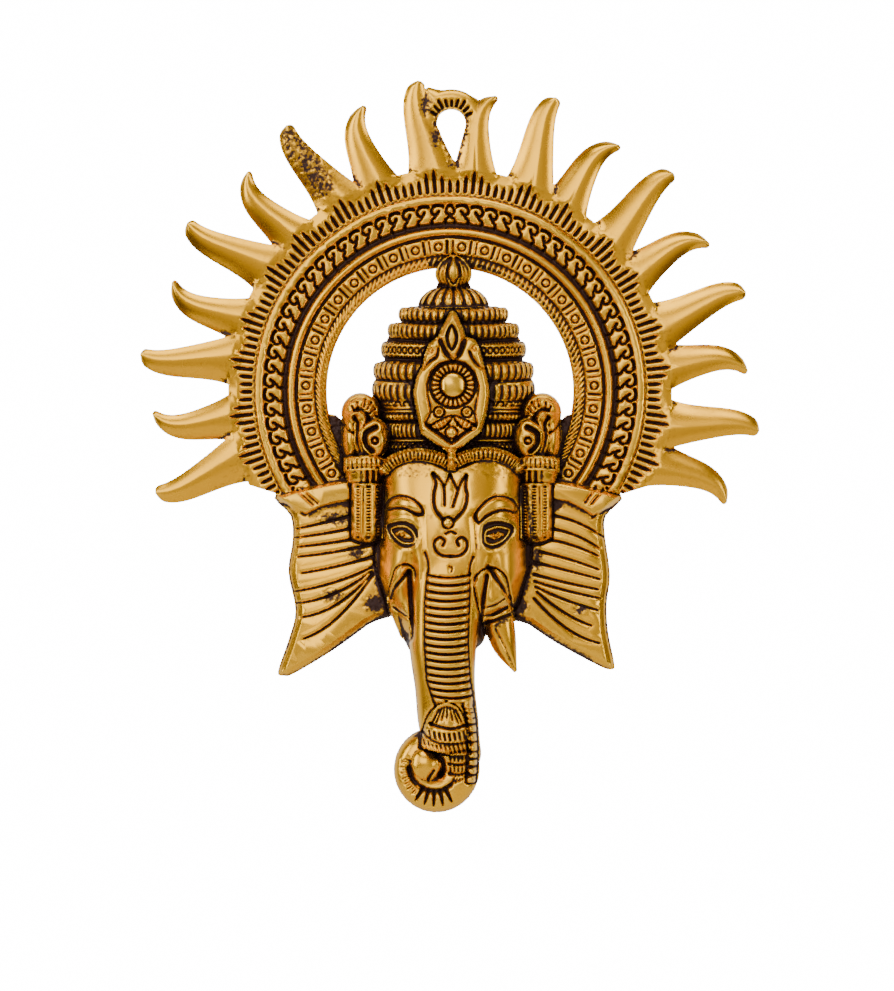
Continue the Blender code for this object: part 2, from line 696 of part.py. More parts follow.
def join_all(base, first_cuts, forms, cuts, group):
    """The casting: the halo cut by its flutes, with every form joined and every other cut taken out."""
    steps = (("trim", "DIFFERENCE", first_cuts), ("join", "UNION", forms), ("carve", "DIFFERENCE", cuts))
    for name, operation, others in steps:
        modifier = base.modifiers.new(name, "BOOLEAN")
        modifier.operation = operation
        modifier.operand_type = "COLLECTION"
        modifier.collection = others
        modifier.solver = "EXACT"
    bpy.context.view_layer.update()
    graph = bpy.context.evaluated_depsgraph_get()
    mesh = bpy.data.meshes.new_from_object(base.evaluated_get(graph))
    bm = bmesh.new()
    bm.from_mesh(mesh)
    bmesh.ops.dissolve_limit(bm, angle_limit=math.radians(1), verts=bm.verts, edges=bm.edges)
    bm.to_mesh(mesh)
    bm.free()
    casting = bpy.data.objects.new("ganesha_casting", mesh)
    group.objects.link(casting)
    casting.location = point(0, 0, -NAIL_ABOVE_HALO)
    mesh.materials.clear()
    mesh.materials.append(gold_finish())
    mesh.shade_smooth()
    mesh.set_sharp_from_angle(angle=math.radians(32))
    bpy.data.objects.remove(base)
    return casting


def main():
    clear_scene()
    plaque = collection("ganesha_wall_hanging")
    first_cuts = collection("first_cuts")
    forms = collection("forms")
    cuts = collection("cuts")
    base = halo(plaque)
    halo_carving(forms, first_cuts)
    flames(forms)
    hanging_loop(forms, cuts)
    crown(forms)
    crest(forms)
    head(forms)
    forehead_rope(forms)
    trunk(forms)
    ears(forms, cuts)
    side_ornaments(forms, cuts)
    wall_plane(cuts)
    casting = join_all(base, first_cuts, forms, cuts, plaque)
    casting.data.calc_loop_triangles()
    print("triangles", len(casting.data.loop_triangles))


main()
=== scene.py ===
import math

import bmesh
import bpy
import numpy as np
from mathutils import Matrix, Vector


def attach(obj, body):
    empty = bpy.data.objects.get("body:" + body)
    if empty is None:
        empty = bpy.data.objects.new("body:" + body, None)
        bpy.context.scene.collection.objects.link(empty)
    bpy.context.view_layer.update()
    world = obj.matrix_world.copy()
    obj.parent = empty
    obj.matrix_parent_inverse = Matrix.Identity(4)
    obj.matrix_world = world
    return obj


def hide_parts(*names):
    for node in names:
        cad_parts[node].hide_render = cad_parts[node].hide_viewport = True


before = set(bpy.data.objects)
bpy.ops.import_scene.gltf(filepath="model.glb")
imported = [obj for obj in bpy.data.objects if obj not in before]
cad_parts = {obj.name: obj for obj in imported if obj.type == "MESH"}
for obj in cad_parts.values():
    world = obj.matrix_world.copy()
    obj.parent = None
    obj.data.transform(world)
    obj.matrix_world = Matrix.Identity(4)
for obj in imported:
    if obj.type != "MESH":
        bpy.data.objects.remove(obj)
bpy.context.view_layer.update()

# %% [markdown]
# # A cast Ganesha wall hanging in antique gold
#
# The real thing is one die casting of a light white metal, about 19 cm across and 23 cm high. It is
# plated a warm gold, dipped in a dark brown patina, and wiped, so the brown stays in the recesses.
# Everything in front is low relief, so this lesson makes one height for every point of a fine grid,
# form by form as a carver would, and turns the grid into one closed mesh. Boxes and balls joined
# together could carry the main forms, as the CAD does, but not several hundred small strokes.

MM = 0.001
NAIL_ABOVE_HALO = 88.2
GRID_STEP = 0.3
MOST_TRIANGLES = 178_000

# %% [markdown]
# ## Camera
#
# The photo looks straight at the plaque from far away, so the far sides of the trunk and crown don't
# show. A long lens two metres off gives that flat view. One photo pixel is 1 / 3.19 mm at the plaque.

# %% The camera, set square to the wall
PHOTO_SIZE = (894, 991)
PIXELS_PER_MM = 3.19
HALO_IN_PHOTO = (450.0, 391.0)
CAMERA_AWAY = 2.0
SENSOR = 36.0

middle_across = (PHOTO_SIZE[0] / 2 - HALO_IN_PHOTO[0]) / PIXELS_PER_MM
middle_up = (HALO_IN_PHOTO[1] - PHOTO_SIZE[1] / 2) / PIXELS_PER_MM - NAIL_ABOVE_HALO
camera = bpy.data.objects.new("camera", bpy.data.cameras.new("camera"))
camera.data.sensor_width = SENSOR
camera.data.lens = SENSOR * CAMERA_AWAY / (PHOTO_SIZE[1] / PIXELS_PER_MM * MM)
camera.location = (middle_across * MM, -CAMERA_AWAY, middle_up * MM)
camera.rotation_euler = (math.pi / 2, 0, 0)
bpy.context.scene.collection.objects.link(camera)
bpy.context.scene.camera = camera
print(f"lens {camera.data.lens:.0f} mm, aimed {middle_up:.1f} mm above the nail")

# %% [markdown]
# ## The sheet that gets carved
#
# `rise` is how far the metal stands out from the wall, and `inside` is how far a point lies within the
# outline: above zero is metal, below is air. Each form is laid on the sheet with its own outline and
# rise, and the higher metal wins, just as wax pieces pressed on a master would.

# %% The grid, in millimetres from the halo's centre
grid_across = np.arange(-100.0, 100.0, GRID_STEP)
grid_up = np.arange(-135.0, 99.5, GRID_STEP)
across, up = np.meshgrid(grid_across, grid_up)
rise = np.zeros_like(across)
inside = np.full_like(across, -50.0)
patina_and_shade = np.zeros_like(across)
radius = np.hypot(across, up)
angle = np.degrees(np.arctan2(up, across))
angle = np.where(angle < -90, angle + 360, angle)
print(f"grid of {across.shape[1]} by {across.shape[0]} points, {GRID_STEP} mm apart")


# %% Laying, merging, cutting and darkening
def area(low_across, high_across, low_up, high_up):
    """The part of the grid within these limits, as an index."""
    columns = np.searchsorted(grid_across, (low_across, high_across))
    rows = np.searchsorted(grid_up, (low_up, high_up))
    return np.s_[rows[0]:rows[1], columns[0]:columns[1]]


def around(points, margin):
    """The part of the grid near a list of points."""
    xs, us = zip(*points)
    return area(min(xs) - margin, max(xs) + margin, min(us) - margin, max(us) + margin)


def lay(part, edge, height, moat=0.0):
    """Lays a form: edge is its distance inside its outline, height its rise. A moat cuts round it."""
    if moat:
        rise[part] -= moat * np.exp(-((edge / 0.55) ** 2)) * (edge < 0)
    near = edge > -1.5 * GRID_STEP
    rise[part] = np.where(near, np.maximum(rise[part], height), rise[part])
    inside[part] = np.maximum(inside[part], edge)


def merge(part, edge, height, soft):
    """Lays a form that flows into what lies under it instead of meeting it in a crease."""
    gap = np.clip(1 - np.abs(rise[part] - height) / soft, 0, 1)
    fillet = np.where((inside[part] > 0) & (edge > 0), soft / 4 * gap**2, 0)
    lay(part, edge, height + np.minimum(fillet, np.clip(edge, 0, 1)))


def cut(part, distance, width, depth):
    """A groove with soft shoulders, width across from middle to shoulder."""
    rise[part] -= depth * np.exp(-((distance / width) ** 2))


def add_patina_and_shade(part, amount):
    """Marks a place darker, at least as much as it is already: mostly patina, in a few places painted shade.
    """
    patina_and_shade[part] = np.maximum(patina_and_shade[part], amount)


print("a 10 mm square holds", across[area(0, 10, 0, 10)].size, "points")

# %% Distances to lines and outlines
def to_line(points, part, closed=False):
    """Distance from each grid point to a line through points, and how far along the line it falls."""
    ends = list(points[1:]) + ([points[0]] if closed else [])
    best = np.full(across[part].shape, 1e9)
    along = np.zeros_like(best)
    for index, ((x0, u0), (x1, u1)) in enumerate(zip(points, ends)):
        run, climb = x1 - x0, u1 - u0
        from_x, from_u = across[part] - x0, up[part] - u0
        share = np.clip((from_x * run + from_u * climb) / (run**2 + climb**2 + 1e-12), 0, 1)
        distance = np.hypot(from_x - run * share, from_u - climb * share)
        closer = distance < best
        best = np.where(closer, distance, best)
        along = np.where(closer, (index + share) / len(ends), along)
    return best, along


def within(points, part):
    """Distance inside a closed outline, negative outside it."""
    distance, _ = to_line(points, part, closed=True)
    odd = np.zeros(distance.shape, bool)
    for (x0, u0), (x1, u1) in zip(points, list(points[1:]) + [points[0]]):
        if u0 == u1:
            continue
        crossing = (u0 <= up[part]) != (u1 <= up[part])
        odd ^= crossing & (across[part] < (x1 - x0) * (up[part] - u0) / (u1 - u0) + x0)
    return np.where(odd, distance, -distance)


def spot_between(a, b, c, d, t):
    """A point between b and c, on the soft curve that runs through all four."""
    return (2 * b + (c - a) * t + (2 * a - 5 * b + 4 * c - d) * t**2 + (3 * b - a - 3 * c + d) * t**3) / 2


def smooth(points, closed=False, steps=6):
    """More points along a soft curve through the given ones."""
    count = len(points)
    pick = (lambda i: points[i % count]) if closed else (lambda i: points[min(max(i, 0), count - 1)])
    made = []
    for index in range(count if closed else count - 1):
        a, b, c, d = (np.array(pick(index + shift), float) for shift in (-1, 0, 1, 2))
        made += [tuple(spot_between(a, b, c, d, step / steps)) for step in range(steps)]
    if not closed:
        made.append(tuple(points[-1]))
    return made


print("a soft curve through 4 points gets", len(smooth(((0, 0), (1, 2), (2, 2), (3, 0)))))

# %% Strokes, domes and ribs
def stroke(points, width, amount, closed=False, taper=0.0):
    """Raises (or with a minus sign cuts) a line. With a taper it thins towards its far end."""
    part = around(points, 3 * width)
    distance, along = to_line(points, part, closed)
    fat = width * (1 - taper * along)
    rise[part] += amount * np.exp(-((distance / fat) ** 2)) * (1 - 0.5 * taper * along)


def dome(middle_x, middle_u, half_x, half_u, power=0.5):
    """A ball's height over an oval, from 0 at its edge to 1, with the part of the grid it covers."""
    part = area(middle_x - half_x - 2, middle_x + half_x + 2, middle_u - half_u - 2, middle_u + half_u + 2)
    share = np.hypot((across[part] - middle_x) / half_x, (up[part] - middle_u) / half_u)
    edge = (1 - share) * min(half_x, half_u)
    return part, edge, np.clip(1 - share**2, 0, 1) ** power


def bumps(position, pitch, sharp=1.0):
    """A row of rounded ribs, 1 on each crown and 0 in each groove between."""
    return np.abs(np.cos(np.pi * position / pitch)) ** sharp


print("a dome 8 mm across needs", dome(0, 0, 4, 4)[2].size, "points")

# %% [markdown]
# ## The halo
#
# The ring is turned: a rope edge, a band of studs in square cells, a plain bead, a band of curled
# leaves, a plain fillet and a band of flutes. A profile gives the rise at each radius, and each band's
# carving repeats by angle. The sizes come from the photo, unrolled about the halo's centre.

# %% The turned profile, cut off along the ears
HALO_INNER = 38.6
HALO_OUTER = 69.4
EAR_LINE = ((-90.0, -20.0), (-66.0, -28.5), (-54.2, -32.2), (-32.9, -27.0), (-20.0, -24.0))
HALO_PROFILE = (
    (38.6, 3.6),
    (39.2, 4.9),
    (40.7, 5.3),
    (41.8, 4.6),
    (42.3, 3.9),
    (42.9, 5.2),
    (47.4, 5.3),
    (47.8, 4.3),
    (48.3, 3.9),
    (48.8, 5.6),
    (49.7, 6.1),
    (50.6, 5.6),
    (51.1, 3.9),
    (52.1, 3.3),
    (52.7, 4.6),
    (53.4, 5.3),
    (57.6, 5.4),
    (58.3, 4.9),
    (58.8, 5.8),
    (60.7, 5.7),
    (61.4, 4.3),
    (62.0, 4.9),
    (66.5, 4.7),
    (69.4, 4.0),
)


def above_ears(part):
    """Distance above the line along which the halo stops at both ears."""
    line = np.interp(-np.abs(across[part]), *zip(*EAR_LINE))
    return up[part] - line


whole = np.s_[:, :]
halo_edge = np.minimum(np.minimum(radius - HALO_INNER, HALO_OUTER - radius), above_ears(whole))
lay(whole, halo_edge, np.interp(radius, *zip(*HALO_PROFILE)))
print(f"halo from {HALO_INNER} to {HALO_OUTER} mm, {np.sum(halo_edge > 0) * GRID_STEP**2:.0f} mm2")

# %% Rope edge and stud cells
ROPE_PITCH = 1.7
STUD_PITCH = 9.25
STUD_MIDDLE = 45.1
STUD_RING = 1.2
BAR_GAP = 0.92


def band(low, high, soft=0.3):
    """1 within a band of radii and 0 outside it, with soft edges, and only on the halo."""
    rim = np.minimum(radius - low, high - radius)
    return np.clip(rim / soft + 0.5, 0, 1) * (halo_edge > 0)


def around_halo(pitch, offset=0.0):
    """Distance along the arc from the middle of the nearest repeat, in mm."""
    turn = (angle - 90 - offset + pitch / 2) % pitch - pitch / 2
    return np.radians(turn) * radius


arc = np.radians(angle - 90) * radius
rope = np.cos(2 * np.pi * (arc / ROPE_PITCH + (radius - 40.6) / 4.5))
rise += 0.45 * (rope - 0.5) * band(39.4, 42.0)
studs = band(42.9, 47.4) > 0.5
ring = np.hypot(around_halo(STUD_PITCH, STUD_PITCH / 2), radius - STUD_MIDDLE)
cut(whole, np.where(studs, ring - STUD_RING, 9), 0.3, 1.0)
between = around_halo(STUD_PITCH)
cut(whole, np.where(studs, between - BAR_GAP, 9), 0.4, 1.25)
cut(whole, np.where(studs, between + BAR_GAP, 9), 0.3, 0.9)
print(f"{round(246 / STUD_PITCH)} stud cells")

# %% [markdown]
# The widest band is a row of curled leaves that run up both sides and meet at the top. What shows is
# a dark line round each curl, so only that line is drawn, once, and the rest is found by turning it
# round the halo and mirroring it. Fifty modelled leaves would say no more.

# %% The band of curled leaves: a dark running line cuts each leaf's curl and its tail
LEAF_PITCH = 4.6
LEAF_HEADS = 56.6
LEAF_CURL = ((0.9, -0.4), (0.2, -1.3), (-1.0, -1.1), (-1.25, 0.3), (-0.3, 1.35), (1.3, 1.5), (2.6, 1.0))
LEAF_TAIL = ((-0.1, -1.4), (-0.45, -2.3), (-1.4, -2.9), (-1.4, -4.2))


def repeated_line(points, pitch, middle):
    """Distance to a line repeated round the halo and mirrored about its top."""
    best = np.full(radius.shape, 9.0)
    part = (np.abs(radius - middle) < 5) & (halo_edge > 0)
    turn = angle[part] - 90
    sign = np.where(turn > 0, -1.0, 1.0)
    turn = (turn + pitch / 2) % pitch - pitch / 2
    found = np.full(turn.shape, 9.0)
    for shift in (-pitch, 0, pitch):
        side = sign * np.radians(turn + shift) * radius[part]
        out = radius[part] - middle
        for (x0, y0), (x1, y1) in zip(points, points[1:]):
            run, climb = x1 - x0, y1 - y0
            share = np.clip(((side - x0) * run + (out - y0) * climb) / (run**2 + climb**2), 0, 1)
            found = np.minimum(found, np.hypot(side - x0 - run * share, out - y0 - climb * share))
    best[part] = found
    return best


leaves = np.minimum(
    repeated_line(smooth(LEAF_CURL, steps=3), LEAF_PITCH, LEAF_HEADS),
    repeated_line(smooth(LEAF_TAIL, steps=2), LEAF_PITCH, LEAF_HEADS),
)
rise -= 1.9 * np.exp(-((leaves / 0.42) ** 2)) * band(52.3, 58.6)
print(f"{round(246 / LEAF_PITCH)} curled leaves")

# %% [markdown]
# ## The flames
#
# Eighteen flames come in pairs, one long and one short, and all lean the same way before their tips
# hook back. Each is a soft ridge whose crest runs a little to one side. Dark strokes round the halo
# run out into the foot of each flame. Drawing each flame in polar terms, as an angle and a width at
# each radius, keeps them alike while their lean and hook can still differ.

# %% The flames, one at a time along a leaning line
PAIRS = 9
PAIR_PITCH = 25.8
FLAME_LAP = 4.4
FLAME_FLARE = 6.5
FLAME_CREST = 6.6
FLAME_EDGE = 2.6
FLAME_TIP_HALF = 0.95
TIP_ROUND = 1.8
HOOK_POWER = 6
FLAMES = (
    {"first": -7.6, "tip": 97.6, "width": 14.2, "lean": 4.9, "hook": 2.6},
    {"first": -18.9, "tip": 93.4, "width": 13.0, "lean": 2.0, "hook": 4.2},
)


def flame(first, tip, width, lean, hook):
    root = HALO_OUTER - FLAME_LAP
    turn = math.radians(first + 2)
    spine = [(r * math.cos(turn), r * math.sin(turn)) for r in (root, tip)]
    part = around(spine, 12)
    share = np.clip((radius[part] - root) / (tip - root), 0, 1)
    middle = first + lean * (share - 0.4) - hook * share**HOOK_POWER
    half = (width * np.sqrt(1.03 - share) + FLAME_FLARE * (1 - share) ** 6) / 2
    half += FLAME_TIP_HALF * share**4
    half *= np.sqrt(1 - np.clip(1 - (tip - radius[part]) / TIP_ROUND, 0, 0.99) ** 2)
    off = (angle[part] - middle + 180) % 360 - 180
    aside = np.radians(off) * radius[part]
    slope = np.hypot(*np.gradient(half - np.abs(aside), GRID_STEP))
    edge = (half - np.abs(aside)) / np.clip(slope, 0.7, 2.0)
    edge = np.minimum(np.minimum(edge, tip - radius[part]), radius[part] - root)
    crest = FLAME_CREST - 2.0 * share
    from_crest = np.abs(aside / half + 0.15) / 1.15
    ridge = 0.75 * np.clip(1 - from_crest**2, 0, 1) + 0.25 * np.clip(1 - from_crest, 0, 1)
    fade = np.clip((radius[part] - root - 0.6) / 6.0, 0, 1) ** 0.8
    height = FLAME_EDGE + (crest - FLAME_EDGE) * ridge * np.clip(0.35 + fade, 0, 1)
    merge(part, edge, height, 1.6)


for kind in FLAMES:
    for index in range(PAIRS):
        flame(**{**kind, "first": kind["first"] + index * PAIR_PITCH})
print(f"{2 * PAIRS} flames, tips {FLAMES[0]['tip']} and {FLAMES[1]['tip']} mm out")

# %% The dark strokes between halo and flames, longest on each flame's own line
FLUTE_PITCH = 2.15
FLUTE_FROM = 61.7
FLUTE_TO = 66.2
FLUTE_MORE = 3.4

foot = np.full_like(radius, FLUTE_TO)
for kind in FLAMES:
    for index in range(PAIRS):
        off = angle - (kind["first"] + index * PAIR_PITCH - 0.8)
        foot = np.maximum(foot, FLUTE_TO + FLUTE_MORE * np.exp(-((off / 2.6) ** 2)))
reach = np.clip((foot - radius) / 1.8, 0, 1) ** 0.5 * np.clip((radius - FLUTE_FROM) / 0.4, 0, 1)
wide_as = 0.52 * np.maximum(reach, 0.05)
rise -= 1.7 * reach * np.exp(-((around_halo(FLUTE_PITCH) / wide_as) ** 2)) * (above_ears(whole) > 0)
print(f"{round(246 / FLUTE_PITCH)} strokes, from {FLUTE_FROM} mm out")

# %% [markdown]
# ## The hanging loop
#
# The loop is a bar arched between the tips of the two top flames, notched like cord, over a
# drop-shaped hole. The nail bears at the top of that hole, and that is the frame's origin.

# %% The loop and its hole
LOOP_MIDDLE = (0.4, 83.7)
LOOP_HOLE = 4.5
LOOP_BAR = 6.2
LOOP_RISE = 5.0
HOLE_POINT = (1.7, 71.5)
LOOP_NOTCHES = 9
LOOP_SHOULDER = [
    (-8.0, 94.4), (-2.9, 94.2), (2.5, 93.9), (6.1, 92.5), (9.4, 90.4), (7.0, 85.0), (-7.0, 84.0),
]

part = area(-14, 15, 70, 97)
from_loop = np.hypot(across[part] - LOOP_MIDDLE[0], up[part] - LOOP_MIDDLE[1])
loop_edge = np.minimum(LOOP_HOLE + LOOP_BAR - from_loop, up[part] - LOOP_MIDDLE[1] + 3)
rounding = np.clip(1 - ((from_loop - LOOP_HOLE - LOOP_BAR / 2) / (LOOP_BAR / 2 + 0.4)) ** 2, 0, 1)
shoulder = within(smooth(LOOP_SHOULDER, closed=True, steps=3), part)
lay(part, shoulder, 2.6 + 2.2 * np.sqrt(np.clip(shoulder / 3, 0, 1)))
lay(part, loop_edge, 2.6 + (LOOP_RISE - 2.6) * np.sqrt(rounding))
turn = np.degrees(np.arctan2(up[part] - LOOP_MIDDLE[1], across[part] - LOOP_MIDDLE[0]))
notch_turn = 138 / LOOP_NOTCHES
notch = ((turn - 20) % notch_turn - notch_turn / 2) * math.pi / 180 * from_loop
far = LOOP_HOLE + 4.4 - 1.2 * np.abs(np.sin(np.radians(turn * 3)))
on_bar = np.clip((far - from_loop) / 0.8, 0, 1) * np.clip((from_loop - LOOP_HOLE - 0.5) / 0.4, 0, 1)
rise[part] -= 1.5 * np.exp(-((notch / 0.42) ** 2)) * on_bar * ((turn > 20) & (turn < 158))
round_hole = [
    (LOOP_MIDDLE[0] + LOOP_HOLE * math.cos(t), LOOP_MIDDLE[1] + LOOP_HOLE * math.sin(t))
    for t in np.linspace(math.radians(-10), math.radians(190), 20)
]
hole = within(round_hole + [HOLE_POINT], part)
inside[part] = np.minimum(inside[part], -hole)
add_patina_and_shade(part, 0.95 * np.exp(-((np.maximum(-hole, 0) / 1.3) ** 2)))
for x, u, half_x, half_u in ((-7.6, 89.0, 3.0, 4.6), (0.8, 70.0, 3.4, 3.6), (-4.6, 79.0, 2.2, 5.0)):
    away = np.hypot((across[part] - x) / half_x, (up[part] - u) / half_u)
    add_patina_and_shade(part, 0.66 * np.exp(-(away**2)))
print(f"loop bar {LOOP_BAR} mm thick over a hole {2 * LOOP_HOLE} mm across")

# %% [markdown]
# ## The ears
#
# Each ear is a thin plate that hangs from a folded, plain top band. About ten wrinkles fan out from
# its inner lower corner, and its lower edge slopes off to a plain facet. They aren't quite mirror
# images on the real casting, so each side has its own outline and its own wrinkles.

# %% The ears' plates, bands and rims
EAR_RISE = 6.0
EAR_BAND_RISE = 1.7
LEFT_EAR = (
    (-54.4, -32.0),
    (-49.9, -39.2),
    (-49.3, -46.8),
    (-50.6, -56.7),
    (-48.4, -68.7),
    (-50.6, -78.0),
    (-53.9, -87.8),
    (-52.0, -89.2),
    (-48.6, -88.4),
    (-36.4, -81.1),
    (-25.4, -73.1),
    (-14.0, -64.5),
    (-14.0, -24.0),
    (-32.9, -26.6),
)
RIGHT_EAR = (
    (53.4, -32.2),
    (48.8, -39.2),
    (48.5, -45.0),
    (50.1, -57.5),
    (49.1, -66.5),
    (49.5, -75.3),
    (51.5, -85.6),
    (50.4, -87.2),
    (46.4, -86.0),
    (33.2, -78.9),
    (24.5, -73.1),
    (14.0, -66.0),
    (14.0, -24.0),
    (32.9, -26.6),
)
LEFT_BAND_EDGE = (
    (-53.9, -35.0), (-49.5, -36.8), (-45.4, -38.6), (-40.6, -36.2), (-35.5, -34.7), (-28.0, -33.8),
)
RIGHT_BAND_EDGE = (
    (52.6, -35.4), (50.4, -36.8), (44.8, -39.1), (41.8, -37.0), (36.8, -34.4), (28.0, -33.4),
)
LEFT_WRINKLES = (
    ((-47.9, -43.1), (-30.9, -39.0), 0.2),
    ((-48.3, -45.9), (-31.3, -43.1), 0.2),
    ((-47.7, -48.8), (-30.5, -46.4), 0.2),
    ((-47.6, -51.9), (-25.4, -48.2), 0.4),
    ((-46.2, -57.0), (-24.3, -51.9), 0.4),
    ((-48.4, -62.7), (-24.6, -55.3), 1.0),
    ((-48.1, -66.4), (-24.5, -56.4), 2.1),
    ((-46.4, -70.8), (-24.3, -57.1), 2.8),
    ((-45.7, -77.5), (-24.2, -57.6), 3.2),
)
RIGHT_WRINKLES = (
    ((47.9, -45.7), (32.0, -39.0), -1.1),
    ((46.8, -49.3), (32.0, -43.2), -1.0),
    ((46.5, -51.7), (31.5, -46.6), -0.6),
    ((46.5, -55.9), (28.0, -50.3), -0.4),
    ((46.8, -58.9), (26.2, -53.6), -0.1),
    ((46.3, -62.1), (26.2, -57.4), 0.2),
    ((47.0, -64.9), (26.4, -59.6), 0.3),
    ((46.3, -68.6), (26.8, -61.3), 0.6),
    ((44.2, -73.4), (27.2, -62.9), 1.2),
    ((46.7, -78.9), (26.2, -64.9), 2.4),
)


def bowed(start, end, sag, steps=8):
    """A curve from start to end that hangs below the straight line by sag."""
    (x0, u0), (x1, u1) = start, end
    shares = [step / steps for step in range(steps + 1)]
    return [(x0 + (x1 - x0) * s, u0 + (u1 - u0) * s - sag * 4 * s * (1 - s)) for s in shares]


def ear(outline, band_edge, wrinkles):
    curve = smooth(outline, closed=True, steps=4)
    part = around(curve, 3)
    edge = within(curve, part)
    band_line = sorted(band_edge)
    over_band = up[part] - np.interp(across[part], *zip(*band_line))
    inner = np.abs(across[part]) / 55
    height = EAR_RISE * np.clip((edge + 0.6) / 3.0, 0.35, 1) ** 0.7 + 1.2 * (1 - inner)
    height += EAR_BAND_RISE * np.clip(over_band / 0.9 + 0.5, 0, 1) * np.clip(edge / 2, 0, 1)
    height += 0.7 * np.exp(-(((edge - 0.9) / 0.55) ** 2)) * (over_band < 0)
    lay(part, edge, height)
    for start, end, sag in wrinkles:
        stroke(bowed(end, start, sag), 0.46, -1.3, taper=0.4)
        stroke(bowed((end[0], end[1] + 1.1), (start[0], start[1] + 1.1), sag), 0.7, 0.12)


ear(LEFT_EAR, LEFT_BAND_EDGE, LEFT_WRINKLES)
ear(RIGHT_EAR, RIGHT_BAND_EDGE, RIGHT_WRINKLES)
for line in ([(-47.6, -31.2), (-42.7, -35.7)], [(-46.2, -31.0), (-41.4, -35.3)]):
    stroke(line, 0.45, -1.0)
for line in ([(45.6, -30.1), (42.3, -34.9)], [(47.9, -30.9), (44.2, -35.3)]):
    stroke(line, 0.45, -1.0)
stroke([(-52.0, -35.3), (-48.3, -36.8), (-45.3, -38.6)], 0.5, -1.0)
stroke([(50.4, -36.8), (47.1, -37.9), (44.5, -39.4)], 0.5, -1.0)
SMUDGES = (
    # across, up, half width, half height, how dark
    (-36.0, -40.0, 7.0, 3.0, 0.72),
    (-29.0, -50.5, 3.8, 3.0, 0.8),
    (-36.0, -64.0, 5.4, 3.0, 0.7),
    (-23.4, -66.6, 3.6, 3.4, 1.0),
    (27.0, -52.5, 2.6, 5.4, 0.8),
    (40.8, -68.6, 3.2, 2.0, 0.7),
    (33.0, -35.8, 3.0, 1.8, 0.8),
    (22.0, -67.6, 2.8, 2.8, 0.95),
)
for x, u, half_x, half_u, dark_as in SMUDGES:
    part = area(x - 3 * half_x, x + 3 * half_x, u - 3 * half_u, u + 3 * half_u)
    away = np.hypot((across[part] - x) / half_x, (up[part] - u) / half_u)
    add_patina_and_shade(part, dark_as * np.exp(-(away**2)))
# Painted shade: a dark band along the sloping lower rim of each ear.
EAR_RIM_SHADE = ([(-22.0, -71.0), (-36.4, -81.0)], [(20.0, -70.0), (35.0, -79.4), (44.0, -84.4)])
for line in EAR_RIM_SHADE:
    part = around(line, 3)
    distance, _ = to_line(line, part)
    add_patina_and_shade(part, 0.7 * np.exp(-((distance / 1.3) ** 2)))
print(f"{len(LEFT_WRINKLES)} wrinkles on the left ear, {len(RIGHT_WRINKLES)} on the right")

# %% [markdown]
# ## The crown
#
# The crown is a stack of turned, fluted tiers in front of the halo's opening, seen from straight on,
# so each tier is half of a flattened ring: its rise falls off towards both sides as a circle does.
# The flutes crowd together near the sides for the same reason, because they are even around the ring.

# %% The crown's tiers
CROWN_ACROSS = 1.1
CROWN_FORWARD = 4.0
CROWN_SQUASH = 0.62
CORE_BEHIND = 2.8
CORE_HALF = (
    # height and half width of the plain core that shows between the tiers
    (-28.0, 21.2),
    (-20.0, 21.6),
    (-3.0, 22.6),
    (3.0, 24.6),
    (9.2, 23.2),
    (9.4, 21.6),
    (15.8, 20.9),
    (21.4, 18.2),
    (21.6, 15.9),
    (26.3, 14.2),
    (26.8, 9.6),
    (32.0, 5.6),
    (35.0, 4.4),
)
TIERS = (
    # half width, middle, half height, flutes around the front, style
    (11.1, 29.6, 3.2, 10, "dome"),
    (17.3, 24.0, 2.3, 22, "flutes"),
    (20.7, 18.9, 2.4, 28, "flutes"),
    (22.8, 12.9, 2.7, 30, "rings"),
    (25.2, 6.3, 2.7, 25, "flutes"),
    (25.6, 0.3, 3.2, 25, "ribs"),
    (22.8, -3.8, 1.4, 18, "scallops"),
    (22.4, -5.5, 0.55, 0, "plain"),
    (22.4, -6.5, 0.5, 0, "plain"),
    (22.4, -8.1, 1.3, 33, "flutes"),
    (22.4, -12.4, 2.5, 35, "flutes"),
    (22.4, -15.5, 0.6, 0, "plain"),
    (22.6, -17.7, 1.9, 34, "rings"),
)


